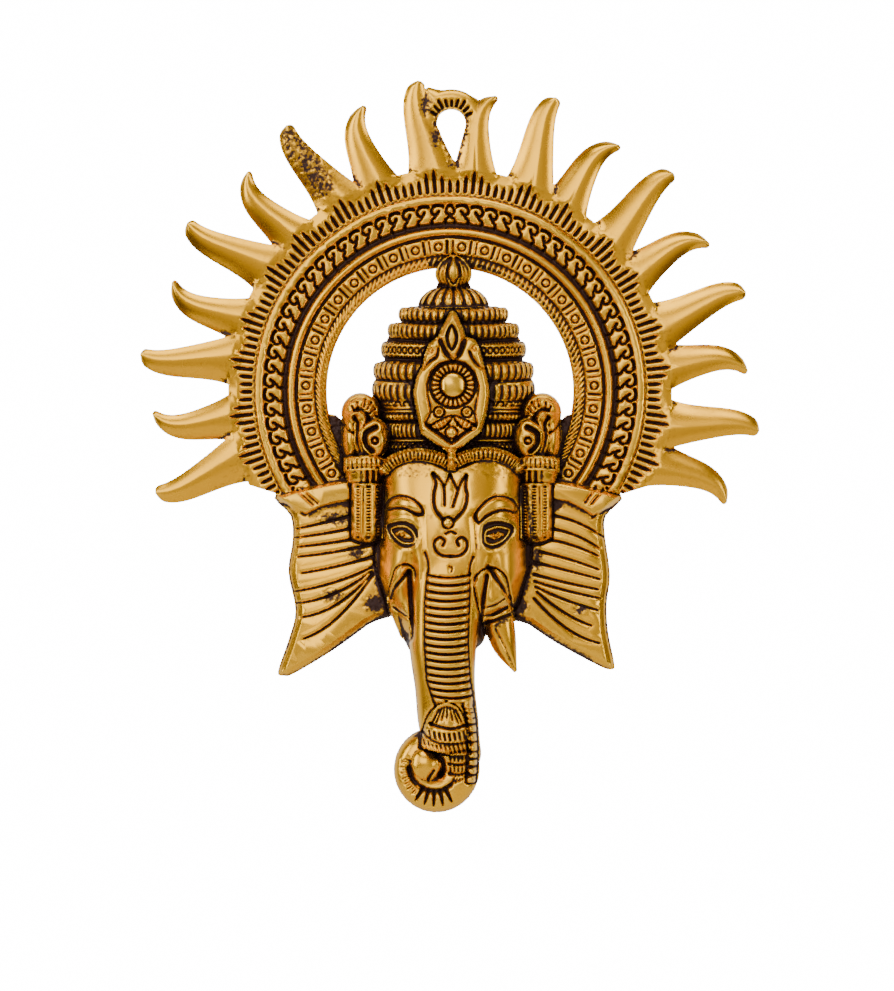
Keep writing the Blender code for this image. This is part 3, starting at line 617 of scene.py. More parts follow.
def tier(half, middle, tall, flutes, style):
    part = area(CROWN_ACROSS - half - 1, CROWN_ACROSS + half + 1, middle - tall - 1.5, middle + tall + 1.5)
    x = across[part] - CROWN_ACROSS
    bow = 0.8 * (1 - (x / half) ** 2) * (middle > -2)
    v = (up[part] - middle + bow) / tall
    roundness = np.sqrt(np.clip(1 - v**2, 0, 1))
    reach = half - 1.3 * (1 - roundness)
    if style == "dome":
        reach = half * np.sqrt(np.clip(1 - 0.72 * np.clip((v + 1) / 2, 0, 1) ** 2, 0, 1))
    edge = np.minimum(reach - np.abs(x), (1 - np.abs(v)) * tall)
    forward = CROWN_FORWARD + CROWN_SQUASH * np.sqrt(np.clip(reach**2 - x**2, 0, None))
    turn = np.degrees(np.arcsin(np.clip(x / reach, -1, 1)))
    if style in ("flutes", "ribs", "dome"):
        rib = bumps(turn + 90 / flutes, 180 / flutes, 0.7)
        forward -= (1.9 if style == "dome" else 1.5) * (1 - rib) + (2.0 if style == "ribs" else 0.0)
    if style == "rings":
        spacing = 180 / flutes
        aside = np.radians((turn + spacing / 2) % spacing - spacing / 2) * reach
        bead = np.hypot(aside, up[part] - middle + bow)
        forward -= 1.3 * np.exp(-(((bead - 0.95) / 0.3) ** 2)) + 0.3
        teeth = 0.74 + 0.14 * np.cos(np.radians(turn * 2 * flutes * 2))
        forward -= 1.3 * np.clip((np.abs(v) - teeth) / 0.1, 0, 1)
    if style == "scallops":
        spacing = 180 / flutes
        aside = np.radians((turn + spacing / 2) % spacing - spacing / 2) * reach
        arch = np.hypot(aside, up[part] - middle + 1.0)
        forward -= 1.2 * np.exp(-(((arch - 1.4) / 0.3) ** 2)) + 0.6
    forward -= 1.3 * (1 - roundness)
    lay(part, edge, forward, moat=1.8 if style in ("flutes", "dome") else 0.8)


part = area(-25, 27, -28, 36)
x = across[part] - CROWN_ACROSS
reach = np.interp(up[part], *zip(*CORE_HALF))
behind = CROWN_SQUASH * np.sqrt(np.clip((reach + 1.5) ** 2 - x**2, 0, None))
edge = np.minimum(reach - np.abs(x), np.minimum(up[part] + 27.5, 35.0 - up[part]))
lay(part, edge, CROWN_FORWARD - CORE_BEHIND + behind)
add_patina_and_shade(part, 0.35 * (edge > 0))
for numbers in reversed(TIERS):
    tier(*numbers)
dirty = area(-19, 21, -17, 4)
add_patina_and_shade(dirty, np.where(up[dirty] > -3, 0.36, 0.2))
print(f"{len(TIERS)} tiers, {2 * max(row[0] for row in TIERS):.0f} mm at the widest")

# %% [markdown]
# A closed lotus bud tops the crown and laps over the halo's rim. It is a ball drawn in towards its
# top, with petals cut as lines that lean with its outline.

# %% The lotus bud on top, which laps over the halo's inner rim
BUD = (1.1, 37.2)
BUD_HALF = (5.7, 5.2)
BUD_LEANS = (-4.7, -3.5, -2.2, 2.2, 3.5, 4.7)
BUD_RIB = ((0.75, -4.3), (1.0, -1.2), (0.8, 2.0), (0.3, 4.4))
part = area(-6, 8, 30, 44)
v = np.clip((up[part] - BUD[1]) / BUD_HALF[1], -1, 1)
reach = BUD_HALF[0] * np.sqrt(np.clip(1 - v**2, 0, 1)) * (1 - 0.12 * v)
above = (1 - np.abs(up[part] - BUD[1]) / BUD_HALF[1]) * BUD_HALF[1]
edge = np.minimum(reach - np.abs(across[part] - BUD[0]), above)
swell = np.sqrt(np.clip(1 - ((across[part] - BUD[0]) / np.maximum(reach, 0.1)) ** 2, 0, 1))
lay(part, edge, 4.6 + 4.0 * swell * np.sqrt(np.clip(1 - v**2, 0, 1)), moat=2.0)
for lean in BUD_LEANS:
    line = [(BUD[0] + lean * width, BUD[1] + rise_by) for width, rise_by in BUD_RIB]
    stroke(smooth(line), 0.42, -1.3)
petal = smooth([(BUD[0], 41.4), (-0.8, 37.0), (BUD[0], 33.4), (3.0, 37.0)], closed=True)
part = around(petal, 2)
inner = within(petal, part)
rise[part] += 0.8 * np.clip(inner / 0.8, 0, 1)
cut(part, np.where(np.abs(inner) < 2, inner, 9), 0.36, 1.1)
print(f"bud at {BUD} mm")

# %% [markdown]
# ## The crest plate
#
# A shield stands in front of the crown. It carries a leaf, two bird heads, a sun with about 24
# petals, two small rings, two crossed striped leaves and a small disc, over a V.

# %% The shield and its well
SHIELD_RISE = 22.4
SHIELD = [
    (-3.8, 16.1), (-6.2, 14.2), (-7.6, 10.8), (-8.1, 7.5), (-10.0, 4.1), (-11.0, -0.7),
    (-10.5, -4.5), (-9.5, -9.3), (-8.8, -13.2), (-0.3, -19.2), (-0.4, -24.0), (1.2, -24.0),
    (1.1, -19.2), (9.4, -12.7), (10.9, -7.9), (11.9, -1.6), (11.6, 1.7), (10.6, 6.0), (9.9, 8.9),
    (8.9, 12.7), (7.7, 15.2), (5.3, 16.1), (3.4, 11.0), (1.0, 9.2), (-1.6, 11.0),
]
WELL = [
    (1.0, 9.2), (-3.2, 8.0), (-5.7, 5.6), (-7.1, 1.7), (-6.6, -3.1), (-5.8, -6.9), (-7.6, -10.3),
    (0.5, -16.3), (8.2, -10.3), (7.5, -7.0), (8.2, -3.6), (8.7, 1.2), (7.3, 5.6), (4.6, 8.2),
]
SUN = (0.9, 1.5)
SUN_PETAL = 15.0
STRIPED_LEAF = ((0.2, -8.2), (2.6, -8.6), (7.0, -11.2), (5.6, -12.6), (2.4, -11.4))

part = around(SHIELD, 2)
edge = within(SHIELD, part)
lay(part, edge, SHIELD_RISE + 1.2 * np.clip(edge / 1.0, 0, 1) ** 0.6, moat=3.5)
inner = within(WELL, part)
rise[part] -= 0.9 * np.clip(inner / 0.5, 0, 1)
cut(part, inner, 0.42, 1.5)
print(f"shield {SHIELD_RISE} mm out")

# %% The sun, the rings, the striped leaves and the disc in it
part = area(SUN[0] - 9, SUN[0] + 9, SUN[1] - 9, SUN[1] + 9)
out = np.hypot(across[part] - SUN[0], up[part] - SUN[1])
turn = np.degrees(np.arctan2(up[part] - SUN[1], across[part] - SUN[0]))
from_gap = np.radians((turn + SUN_PETAL / 2) % SUN_PETAL - SUN_PETAL / 2) * out
petals = np.clip((out - 4.0) / 0.3, 0, 1) * np.clip((6.9 - out) / 0.3, 0, 1)
rise[part] += 1.0 * np.clip((3.9 - out) / 0.3, 0, 1) + 0.7 * petals
rise[part] -= 1.6 * petals * np.exp(-((from_gap / 0.34) ** 2))
cut(part, out - 4.05, 0.3, 1.2)
cut(part, out - 7.05, 0.42, 1.5)
for middle_x in (-3.4, 5.2):
    part = area(middle_x - 3, middle_x + 3, -9.8, -3.6)
    out = np.hypot(across[part] - middle_x, up[part] + 6.9)
    rise[part] += 0.9 * np.clip((1.5 - out) / 0.3, 0, 1)
    cut(part, out - 1.65, 0.3, 1.3)
    cut(part, out - 0.45, 0.34, 1.3)
for side in (-1, 1):
    leaf = [(SUN[0] + side * x, u) for x, u in STRIPED_LEAF]
    curve = smooth(leaf, closed=True, steps=3)
    part = around(curve, 2)
    inner = within(curve, part)
    rise[part] += 0.8 * np.clip(inner / 0.5, 0, 1)
    cut(part, inner, 0.3, 1.2)
    for step in range(4):
        base = SUN[0] + side * (1.6 + 1.25 * step)
        stroke([(base + side * 0.5, -8.9 - 0.6 * step), (base - side * 0.3, -11.2 - 0.4 * step)], 0.27, -1.2)
part, edge, _ = dome(0.4, -13.3, 1.9, 1.9)
rise[part] += 0.9 * np.clip(edge / 0.5, 0, 1)
cut(part, edge, 0.32, 1.2)
stroke([(-7.4, -10.9), (0.5, -16.6), (8.0, -10.9)], 0.5, -1.6)
print(f"sun of {360 / SUN_PETAL:.0f} petals at {SUN}")

# %% The leaf on top, and the two bird heads beside it
LEAF = [
    (0.9, 24.3), (-1.4, 20.6), (-3.1, 16.6), (-1.4, 12.2), (1.1, 9.6), (3.2, 12.2), (4.3, 16.6),
    (3.0, 20.6),
]
almond = smooth(LEAF, closed=True)
part = around(almond, 2)
edge = within(almond, part)
ridge_up = np.clip(1 - np.abs(across[part] - 0.8) / 4, 0, 1)
lay(part, edge, SHIELD_RISE - 1.2 + 1.8 * np.clip(edge / 1.2, 0, 1) + 0.8 * ridge_up, moat=3.5)
slot = smooth([(0.5, 19.9), (-1.0, 16.1), (0.5, 12.5), (2.1, 16.1)], closed=True)
stroke(slot, 0.45, -1.7, closed=True)
BEAKS = (
    [(-3.6, 12.9), (-4.2, 10.3), (-6.2, 8.9), (-8.2, 6.8)],
    [(6.1, 11.9), (6.8, 9.9), (8.7, 7.6), (10.5, 6.6)],
)
for line, eye in zip(BEAKS, ((-6.1, 12.2), (7.6, 12.9))):
    stroke(smooth(line), 0.5, -1.5)
    part, edge, _ = dome(*eye, 0.9, 0.9)
    cut(part, edge - 0.1, 0.25, 0.9)
print(f"{len(BEAKS)} beaks")

# %% [markdown]
# ## Head, tusks and trunk
#
# The head is a long, smooth swelling with a broad forehead. The trunk comes forward from it and
# curls to the left at the bottom, round a sweet. These forms are large and soft, so they are balls
# and tapering tubes whose heights are merged before any line is cut into them.

# %% A tube through stations
def tube(stations, moat=0.0, power=0.5):
    """Stations are (across, rise of the axis, up, radius). The sheet takes the front of the tube."""
    points = [(x, u) for x, _, u, _ in stations]
    part = around(points, max(row[3] for row in stations) + 2)
    distance, along = to_line(points, part)
    place = along * (len(stations) - 1)
    count = range(len(stations))
    fat = np.interp(place, count, [row[3] for row in stations])
    axis = np.interp(place, count, [row[1] for row in stations])
    share = np.clip(1 - (distance / fat) ** 2, 0, 1)
    lay(part, fat - distance, axis + fat * share**power, moat=moat)
    return part, distance, along


def rounded_stations(stations, steps=5):
    """More stations along a soft curve through these."""
    made = []
    for low in range(len(stations) - 1):
        rows = [stations[min(max(low + shift, 0), len(stations) - 1)] for shift in (-1, 0, 1, 2)]
        a, b, c, d = (np.array(row) for row in rows)
        made += [spot_between(a, b, c, d, t) for t in np.arange(steps) / steps]
    return [tuple(row) for row in made] + [tuple(map(float, stations[-1]))]


# %% The head's outline and its swelling
HEAD_BASE = 3.0
HEAD_SWELL = 20.6
HEAD_ACROSS = 0.9
HEAD_HALF = 23.4
HEAD = [
    (-20.4, -24.0), (-21.6, -34.0), (-22.6, -45.8), (-23.2, -53.3), (-21.0, -62.0), (-18.6, -68.6),
    (-14.6, -77.6), (-10.0, -82.0), (8.0, -80.6), (12.4, -74.0), (20.0, -68.0), (22.6, -60.8),
    (24.8, -53.3), (24.8, -45.8), (23.4, -34.0), (22.4, -24.0), (12.0, -16.8), (0.6, -19.0),
    (-10.0, -16.8),
]
part = around(HEAD, 3)
edge = within(smooth(HEAD, closed=True, steps=5), part)
side = np.abs(across[part] - HEAD_ACROSS) / HEAD_HALF
tall = np.clip((up[part] + 48) / 34.0, -1, 1)
height = HEAD_BASE + HEAD_SWELL * np.sqrt(np.clip(1 - side**2.7, 0.02, 1)) * np.clip(1 - 0.35 * tall**2, 0, 1)
height = np.minimum(height, 4.0 + 20.0 * np.sqrt(np.clip(edge / 9.0, 0, 1)))
lay(part, edge, height, moat=1.5)
SWELLINGS = (
    # across, up, half sizes and how far out: cheeks, brow ridges, eye hollows and the dips beside the tusks
    (-17.4, -56.5, 6.6, 10.5, 2.3),
    (19.0, -56.0, 6.6, 11.0, 2.3),
    (-14.4, -35.6, 7.6, 3.8, 1.1),
    (15.0, -36.0, 7.6, 3.8, 1.1),
    (-14.4, -45.4, 6.4, 6.4, -1.3),
    (15.2, -45.4, 6.4, 6.4, -1.3),
    (-12.4, -58.0, 3.4, 12.0, -2.6),
    (13.2, -57.0, 2.6, 9.0, -1.2),
)
for x, u, half_x, half_u, amount in SWELLINGS:
    part, _, swell = dome(x, u, half_x, half_u, power=1.5)
    rise[part] += amount * swell
BRIDGE_SIDES = (
    [(-9.6, -39.0), (-9.2, -44.0), (-8.8, -49.0), (-8.0, -54.0), (-8.4, -60.0)],
    [(7.6, -40.0), (7.8, -44.0), (8.0, -49.0), (7.6, -54.0), (7.4, -60.0)],
)
for line in BRIDGE_SIDES:
    stroke(smooth(line), 1.5, -1.1, taper=0.5)
print(f"head {HEAD_BASE + HEAD_SWELL:.1f} mm out at the brow")

# %% [markdown]
# One tusk is whole and the other is short. The trunk hangs in front of them and curls up to the left
# round the sweet. All are tubes through stations, each with its own radius and its own distance from
# the wall, as an artist would roll them in wax.

# %% Tusks, trunk and curl
TRUNK = (
    (-0.2, 11.0, -48.0, 11.2),
    (-0.9, 13.2, -60.0, 11.3),
    (-2.2, 13.4, -78.0, 10.6),
    (-1.6, 12.0, -92.0, 9.4),
    (-0.4, 9.6, -104.0, 9.4),
    (1.8, 8.4, -113.0, 8.0),
)
CURL_MIDDLE = (-4.6, -117.9)
CURL_HALF = (7.9, 8.2)
RIGHT_TUSK = (
    (12.6, 10.0, -60.5, 5.0),
    (15.0, 10.0, -71.5, 4.9),
    (17.2, 9.4, -80.0, 3.7),
    (20.2, 8.6, -87.2, 0.8),
)
LEFT_TUSK = ((-14.2, 11.0, -57.5, 3.2), (-15.2, 10.4, -66.0, 4.0), (-14.2, 9.6, -76.0, 1.6))

tube(rounded_stations(LEFT_TUSK), moat=1.5)
tube(rounded_stations(RIGHT_TUSK), moat=2.0)
curl = []
for step in range(25):
    share = step / 24
    turn = math.radians(50 - 310 * share)
    far = 1 - 0.12 * share**2
    x = CURL_MIDDLE[0] + CURL_HALF[0] * far * math.cos(turn)
    u = CURL_MIDDLE[1] + CURL_HALF[1] * far * math.sin(turn)
    curl.append((x, 9.0 - 1.5 * share, u, 6.2 - 0.8 * share))
tube(curl, moat=0.5)
tube(rounded_stations(TRUNK), power=0.42)
TIP_LOBE = (-7.6, -116.4, 5.9, 6.2)
part, edge, swell = dome(*TIP_LOBE)
merge(part, edge, 8.0 + 8.0 * swell, 3.0)
DARK_RING = [(-4.4, -113.4), (-2.6, -114.9), (-1.9, -117.2), (-2.9, -119.8)]
stroke(smooth(DARK_RING), 0.65, -2.6)
INNER_BEND = [
    (-12.6, -117.8), (-12.0, -120.2), (-10.2, -122.5), (-7.1, -124.3), (-3.2, -124.6),
    (0.2, -122.9),
]
stroke(smooth(INNER_BEND), 0.8, -2.2, taper=0.3)
stroke(smooth([(-5.0, -118.3), (-5.9, -119.6), (-6.8, -121.2)]), 0.45, -1.4)
print(f"trunk down to {min(row[2] - row[3] for row in curl):.1f} mm")

# %% [markdown]
# The sweet is a ribbed dumpling with a gathered top. Down its side and the trunk's edge runs a row of
# small beads, and short deep wrinkles follow the outside of the curl.

# %% The sweet that the trunk holds
SWEET_TOP, SWEET_FOOT = -97.0, -112.6
part = area(-12, 9, SWEET_FOOT - 1, SWEET_TOP + 1)
fall = np.clip((SWEET_TOP - up[part]) / (SWEET_TOP - SWEET_FOOT), 0, 1)
middle = -1.2 - 0.4 * fall
half = 7.6 * np.sqrt(np.clip(1 - (1 - fall) ** 2.2, 0, 1))
tilt = 1.8 * fall * (across[part] - middle) / 8
edge = np.minimum(half - np.abs(across[part] - middle), up[part] - SWEET_FOOT + tilt)
swell = np.sqrt(np.clip(1 - ((across[part] - middle) / np.maximum(half, 0.1)) ** 2, 0, 1))
lay(part, edge, 12.0 + 9.6 * swell * (0.45 + 0.55 * np.sqrt(fall)), moat=1.6)
print(f"sweet from {SWEET_TOP} to {SWEET_FOOT} mm")

# %% The cross ridges down the trunk
RIDGES_FROM, RIDGES_TO = -57.3, -97.0
RIDGE_FIRST, RIDGE_LAST = 2.46, 2.2
PANEL_LEFT = ((-57, -7.0), (-66, -7.8), (-78, -7.9), (-90, -7.2), (-98, -4.6))
PANEL_RIGHT = ((-57, 6.2), (-66, 6.0), (-78, 5.6), (-90, 6.2), (-98, 7.6))
part = area(-10, 10, RIDGES_TO - 2, RIDGES_FROM + 2)
low, high = (
    np.interp(-up[part], [-u for u, _ in rows], [x for _, x in rows])
    for rows in (PANEL_LEFT, PANEL_RIGHT)
)
share = (across[part] - low) / (high - low)
down = RIDGES_FROM - up[part] - 0.9 * (1 - (2 * share - 1) ** 2)
turns = down / RIDGE_FIRST + (RIDGE_FIRST - RIDGE_LAST) / RIDGE_FIRST**2 * down**2 / 80
phase = turns % 1
from_groove = np.minimum(phase, 1 - phase)
rounded_ends = np.clip(np.minimum(across[part] - low, high - across[part]) / 0.5 + from_groove, 0, 1)
on_panel = rounded_ends * (down > -0.4) * (up[part] > RIDGES_TO)
rise[part] += on_panel * (0.9 * np.sin(np.pi * phase) ** 0.7 - 1.8 * np.exp(-((from_groove / 0.11) ** 2)))
for rows in (PANEL_LEFT, PANEL_RIGHT):
    stroke([(x, u) for u, x in rows], 0.36, -1.1)
print(f"ridges every {RIDGE_FIRST} to {RIDGE_LAST} mm")

# %% The folds beside the trunk and the tusks
SIDE_LINES = (
    ([(-7.7, -50.4), (-6.8, -53.3), (-6.7, -56.6)], 0.4, -1.2),
    ([(7.1, -51.8), (6.2, -54.6), (6.0, -57.4)], 0.4, -1.2),
    ([(-12.8, -56.4), (-15.4, -59.2), (-17.5, -62.1), (-18.4, -64.6)], 0.6, -2.0),
    ([(-12.7, -56.4), (-12.1, -66.5), (-11.8, -76.4), (-14.2, -79.2)], 0.6, -2.2),
    ([(-17.8, -67.4), (-12.3, -71.1)], 0.34, -1.1),
    ([(11.4, -57.6), (10.6, -63.0), (9.7, -70.0), (9.4, -74.0), (10.0, -79.8)], 0.6, -2.4),
    ([(11.8, -54.8), (15.0, -59.4), (18.4, -64.6)], 0.6, -1.7),
    ([(10.6, -67.6), (13.8, -66.8), (17.0, -64.8)], 0.4, -1.4),
    ([(10.4, -70.2), (13.8, -69.6), (17.8, -67.6)], 0.4, -1.4),
    ([(10.2, -72.6), (14.0, -71.6), (18.6, -69.8)], 0.45, -1.6),
    ([(14.2, -74.4), (17.2, -80.4), (19.8, -86.2)], 0.4, -0.6),
)
for line, width, amount in SIDE_LINES:
    stroke(smooth(line), width, amount)
print(f"{len(SIDE_LINES)} folds")

# %% The sweet's rows of strokes
SWEET_LINES = (
    [(-6.3, -103.5), (-3.1, -104.6), (0.8, -105.2), (4.6, -104.2)],
    [(-8.5, -106.1), (-6.5, -108.3), (-3.1, -109.7), (1.0, -109.9), (5.6, -109.4)],
    [(-8.7, -111.3), (-5.7, -112.5), (-2.6, -113.2), (1.0, -112.6), (5.6, -112.0)],
    [(-0.6, -116.2), (2.4, -116.5), (5.6, -116.1)],
    [(-0.2, -119.4), (2.6, -119.6), (5.6, -119.0)],
)
for line in SWEET_LINES:
    stroke(smooth(line), 0.4, -1.6)
for step in range(7):
    lean = (step - 3) / 3
    length = 3.4 + 1.6 * abs(lean)
    start = (-0.9 + 2.6 * lean, -98.6 - 0.9 * lean**2)
    stroke([start, (start[0] + 2.6 * lean, start[1] - length)], 0.42, -1.4, taper=0.6)
for step in range(8):
    x = -6.3 + 1.55 * step
    top = -105.8 - 1.1 * (1 - ((x + 0.6) / 6.0) ** 2)
    stroke([(x - 0.2, top), (x + 0.2, top - 2.0 - 0.4 * (step > 5))], 0.4, -1.4)
for step in range(11):
    x = -8.2 + 1.32 * step
    top = -109.6 - 0.9 * (1 - ((x + 1.5) / 7.0) ** 2) + 0.9 * (x < -6)
    stroke([(x, top), (x + 0.7, top - 2.6)], 0.4, -1.6)
for row in (0, 1):
    for step in range(5):
        x = 0.1 + 1.2 * step
        stroke([(x, -113.6 - 3.2 * row), (x + 0.1, -115.6 - 3.2 * row)], 0.32, -1.2)
for step in range(5):
    stroke([(0.6 + 1.1 * step, -122.2 + 0.4 * step), (1.8 + 1.0 * step, -120.2 + 0.2 * step)], 0.4, -1.4)
print(f"{len(SWEET_LINES)} lines round the sweet")

# %% The beads down the trunk's edge and the wrinkles round its curl
BEAD_LINE = [(5.6, -98.0), (6.4, -101.0), (6.9, -106.0), (7.2, -112.0), (7.1, -117.0), (6.6, -122.0)]
BEADS = 11
bead_line = smooth(BEAD_LINE, steps=10)
stroke([(x + 1.5, u) for x, u in bead_line], 0.28, -1.1)
stroke([(x - 1.7, u) for x, u in bead_line], 0.32, -1.3)
for step in range(BEADS):
    x, u = bead_line[round(step / (BEADS - 0.5) * (len(bead_line) - 1))]
    part, edge, bead = dome(x - 0.1, u, 1.5, 1.15)
    rise[part] += 1.3 * bead
    stroke([(x - 1.3, u - 1.1), (x + 1.1, u - 1.1)], 0.26, -1.3)
BOLD, BOLD_FROM, BOLD_PITCH = 5, 238, 14.7


def on_curl(degrees, near, far):
    """A short line across the curl, at this angle about its middle."""
    aside, over = math.cos(math.radians(degrees)), math.sin(math.radians(degrees))
    return [(CURL_MIDDLE[0] + out * aside, CURL_MIDDLE[1] + out * over) for out in (near, far)]


for step in range(BOLD):
    stroke(on_curl(BOLD_FROM + step * BOLD_PITCH, 7.6, 11.6), 0.62, -2.2, taper=0.7)
WRINKLES, WRINKLE_FROM, WRINKLE_PITCH = 16, 162, 4.9
for step in range(WRINKLES):
    line = on_curl(WRINKLE_FROM + step * WRINKLE_PITCH, 8.0, 10.8 if step % 2 else 10.0)
    stroke(line, 0.34, -1.1, taper=0.6)
print(f"{BEADS} beads and {WRINKLES} wrinkles")

# %% [markdown]
# ## The face
#
# Brows and eyes are outlined with deep lines, as if drawn with a graver. A forked mark runs down
# the forehead to a small ring. Below it the real casting has a written sign, and here a pair of plain
# curls of the same size takes its place.

# %% Lines on the forehead
PLAIN_CURL = [
    (0.2, -51.6), (2.8, -51.3), (4.8, -49.5), (5.0, -47.0), (3.4, -45.7), (1.9, -46.7), (2.5, -48.3),
]
FOREHEAD_LINES = (
    ([(-5.3, -26.0), (-4.4, -28.8), (-5.0, -32.0), (-5.0, -35.4), (-4.1, -37.9), (-2.2, -40.1)], 0.5, -1.5),
    ([(5.0, -26.6), (4.8, -30.1), (5.3, -32.9), (4.4, -36.9), (1.4, -40.3)], 0.5, -1.5),
    ([(-5.2, -26.0), (-3.1, -27.9), (-1.9, -30.4), (-1.7, -35.7)], 0.4, -1.3),
    ([(-1.8, -29.8), (0.0, -26.2)], 0.36, -1.2),
    ([(0.0, -26.2), (2.1, -30.6)], 0.4, -1.3),
    ([(5.0, -26.6), (3.2, -29.0), (2.2, -32.0), (0.9, -36.1)], 0.45, -1.4),
    ([(0.2 - x, u) for x, u in PLAIN_CURL], 0.45, -1.4),
    ([(0.2 + x, u) for x, u in PLAIN_CURL], 0.45, -1.4),
    ([(-1.4, -44.6), (0.2, -43.9), (1.8, -44.6)], 0.4, -1.2),
    ([(-0.4, -54.6), (0.7, -55.2), (0.4, -56.4)], 0.26, -0.8),
)
for line, width, amount in FOREHEAD_LINES:
    stroke(smooth(line), width, amount)
part, edge, _ = dome(-0.64, -41.2, 1.7, 1.7)
rise[part] += 0.5 * np.clip(edge / 0.5, 0, 1)
cut(part, edge, 0.3, 1.3)
print(f"{len(FOREHEAD_LINES)} lines on the forehead")

# %% The brows
LEFT_BROW = [
    (-20.2, -36.4), (-18.7, -33.9), (-15.7, -32.9), (-12.1, -33.6), (-9.5, -35.6), (-8.4, -37.6),
    (-8.8, -38.6), (-10.5, -38.5), (-12.4, -37.6), (-14.2, -36.8), (-16.7, -36.7), (-18.9, -37.1),
]
RIGHT_BROW = [
    (21.0, -36.3), (19.0, -33.9), (14.6, -33.0), (10.9, -34.8), (8.6, -37.4), (7.8, -39.2),
    (8.9, -41.2), (11.2, -39.2), (13.7, -37.9), (16.8, -37.3), (20.2, -38.0),
]
for line in (LEFT_BROW, RIGHT_BROW):
    curve = smooth(line, closed=True, steps=4)
    part = around(curve, 2)
    rise[part] += 0.7 * np.clip(within(curve, part) / 1.0, 0, 1)
    stroke(curve, 0.38, -1.3, closed=True)
print("two brows")

# %% [markdown]
# The eyes are what people look at first, so they are drawn line by line from the photo. The two
# aren't mirror images: the one on the right is wider open.

# %% The eyes: a deep outline, a bright lid, a dark hollow and a small eyeball with a ring
LEFT_EYE = {
    "socket": [(-19.6, -42.2), (-17.3, -41.1), (-14.2, -40.8), (-11.7, -41.7), (-10.0, -44.1), (-10.3, -46.6)]
    + [(-11.6, -48.4), (-14.2, -48.9), (-16.7, -47.6), (-18.7, -45.0)],
    "lid": [(-18.4, -43.3), (-16.4, -42.4), (-14.2, -42.3), (-12.2, -43.4), (-10.9, -45.4), (-11.4, -47.4)]
    + [(-14.3, -47.6), (-17.0, -45.8)],
    "ball": [(-17.2, -44.3), (-15.0, -43.6), (-12.9, -44.4), (-11.6, -46.0), (-13.9, -46.3), (-16.1, -45.6)],
    "iris": (-15.0, -45.0),
}
RIGHT_EYE = {
    "socket": [(10.8, -41.8), (13.4, -40.8), (16.5, -40.9), (19.8, -42.4), (19.1, -45.0), (16.5, -47.9)]
    + [(13.7, -49.2), (11.1, -48.6), (10.0, -46.3), (10.1, -43.6)],
    "lid": [(11.0, -44.2), (12.7, -43.1), (14.9, -42.5), (17.1, -42.9), (18.5, -43.5), (17.4, -45.8)]
    + [(15.2, -47.4), (13.1, -48.0), (11.1, -47.3)],
    "ball": [(11.0, -45.3), (13.0, -44.4), (14.9, -43.9), (17.0, -44.7), (15.5, -46.0), (13.4, -46.5)],
    "iris": (14.3, -45.1),
}
SOCKET_STAIN = 1.0
for eye in (LEFT_EYE, RIGHT_EYE):
    curve = smooth(eye["socket"], closed=True, steps=4)
    part = around(curve, 2)
    socket = within(curve, part)
    rise[part] += 0.4 * np.exp(-(((socket + 1.1) / 0.5) ** 2)) - 1.5 * np.clip(socket / 0.5, 0, 1)
    lid = within(smooth(eye["lid"], closed=True, steps=4), part)
    rise[part] += 1.5 * np.exp(-((lid / 0.36) ** 2))
    eyeball = within(smooth(eye["ball"], closed=True, steps=4), part)
    rise[part] += 1.5 * np.clip(eyeball / 0.6, 0, 1) ** 0.7
    out = np.hypot(across[part] - eye["iris"][0], up[part] - eye["iris"][1])
    cut(part, out - 0.75, 0.28, 1.3)
    outer = (socket > -0.15) & (lid < -0.4)
    inner = (lid > 0.4) & (eyeball < 0.1)
    add_patina_and_shade(part, SOCKET_STAIN * (outer | inner))
print("two eyes, irises at", LEFT_EYE["iris"], "and", RIGHT_EYE["iris"])

# %% [markdown]
# ## The rope over the brow and the ornaments at the temples
#
# A rope of two arches crosses the forehead and meets in a V. At each temple a curled leaf ends in a
# fan, and below it hang a cuff, a small cup and a beaded tassel.

# %% The web behind the ornaments
WEB_RISE = 4.2
WEB = [
    (12.0, -2.0), (24.0, -1.6), (30.0, -8.4), (34.6, -8.9), (36.0, -7.6), (39.6, -7.0), (38.4, -30.0),
    (20.0, -35.0),
]
ORNAMENT_AXIS = 0.43

for side in (-1, 1):
    web = [(ORNAMENT_AXIS + side * x, u) for x, u in WEB]
    part = around(web, 2)
    edge = np.minimum(within(web, part), HALO_INNER + 1.0 - radius[part])
    lay(part, edge, np.full(edge.shape, WEB_RISE))
print(f"web {WEB_RISE} mm thick")


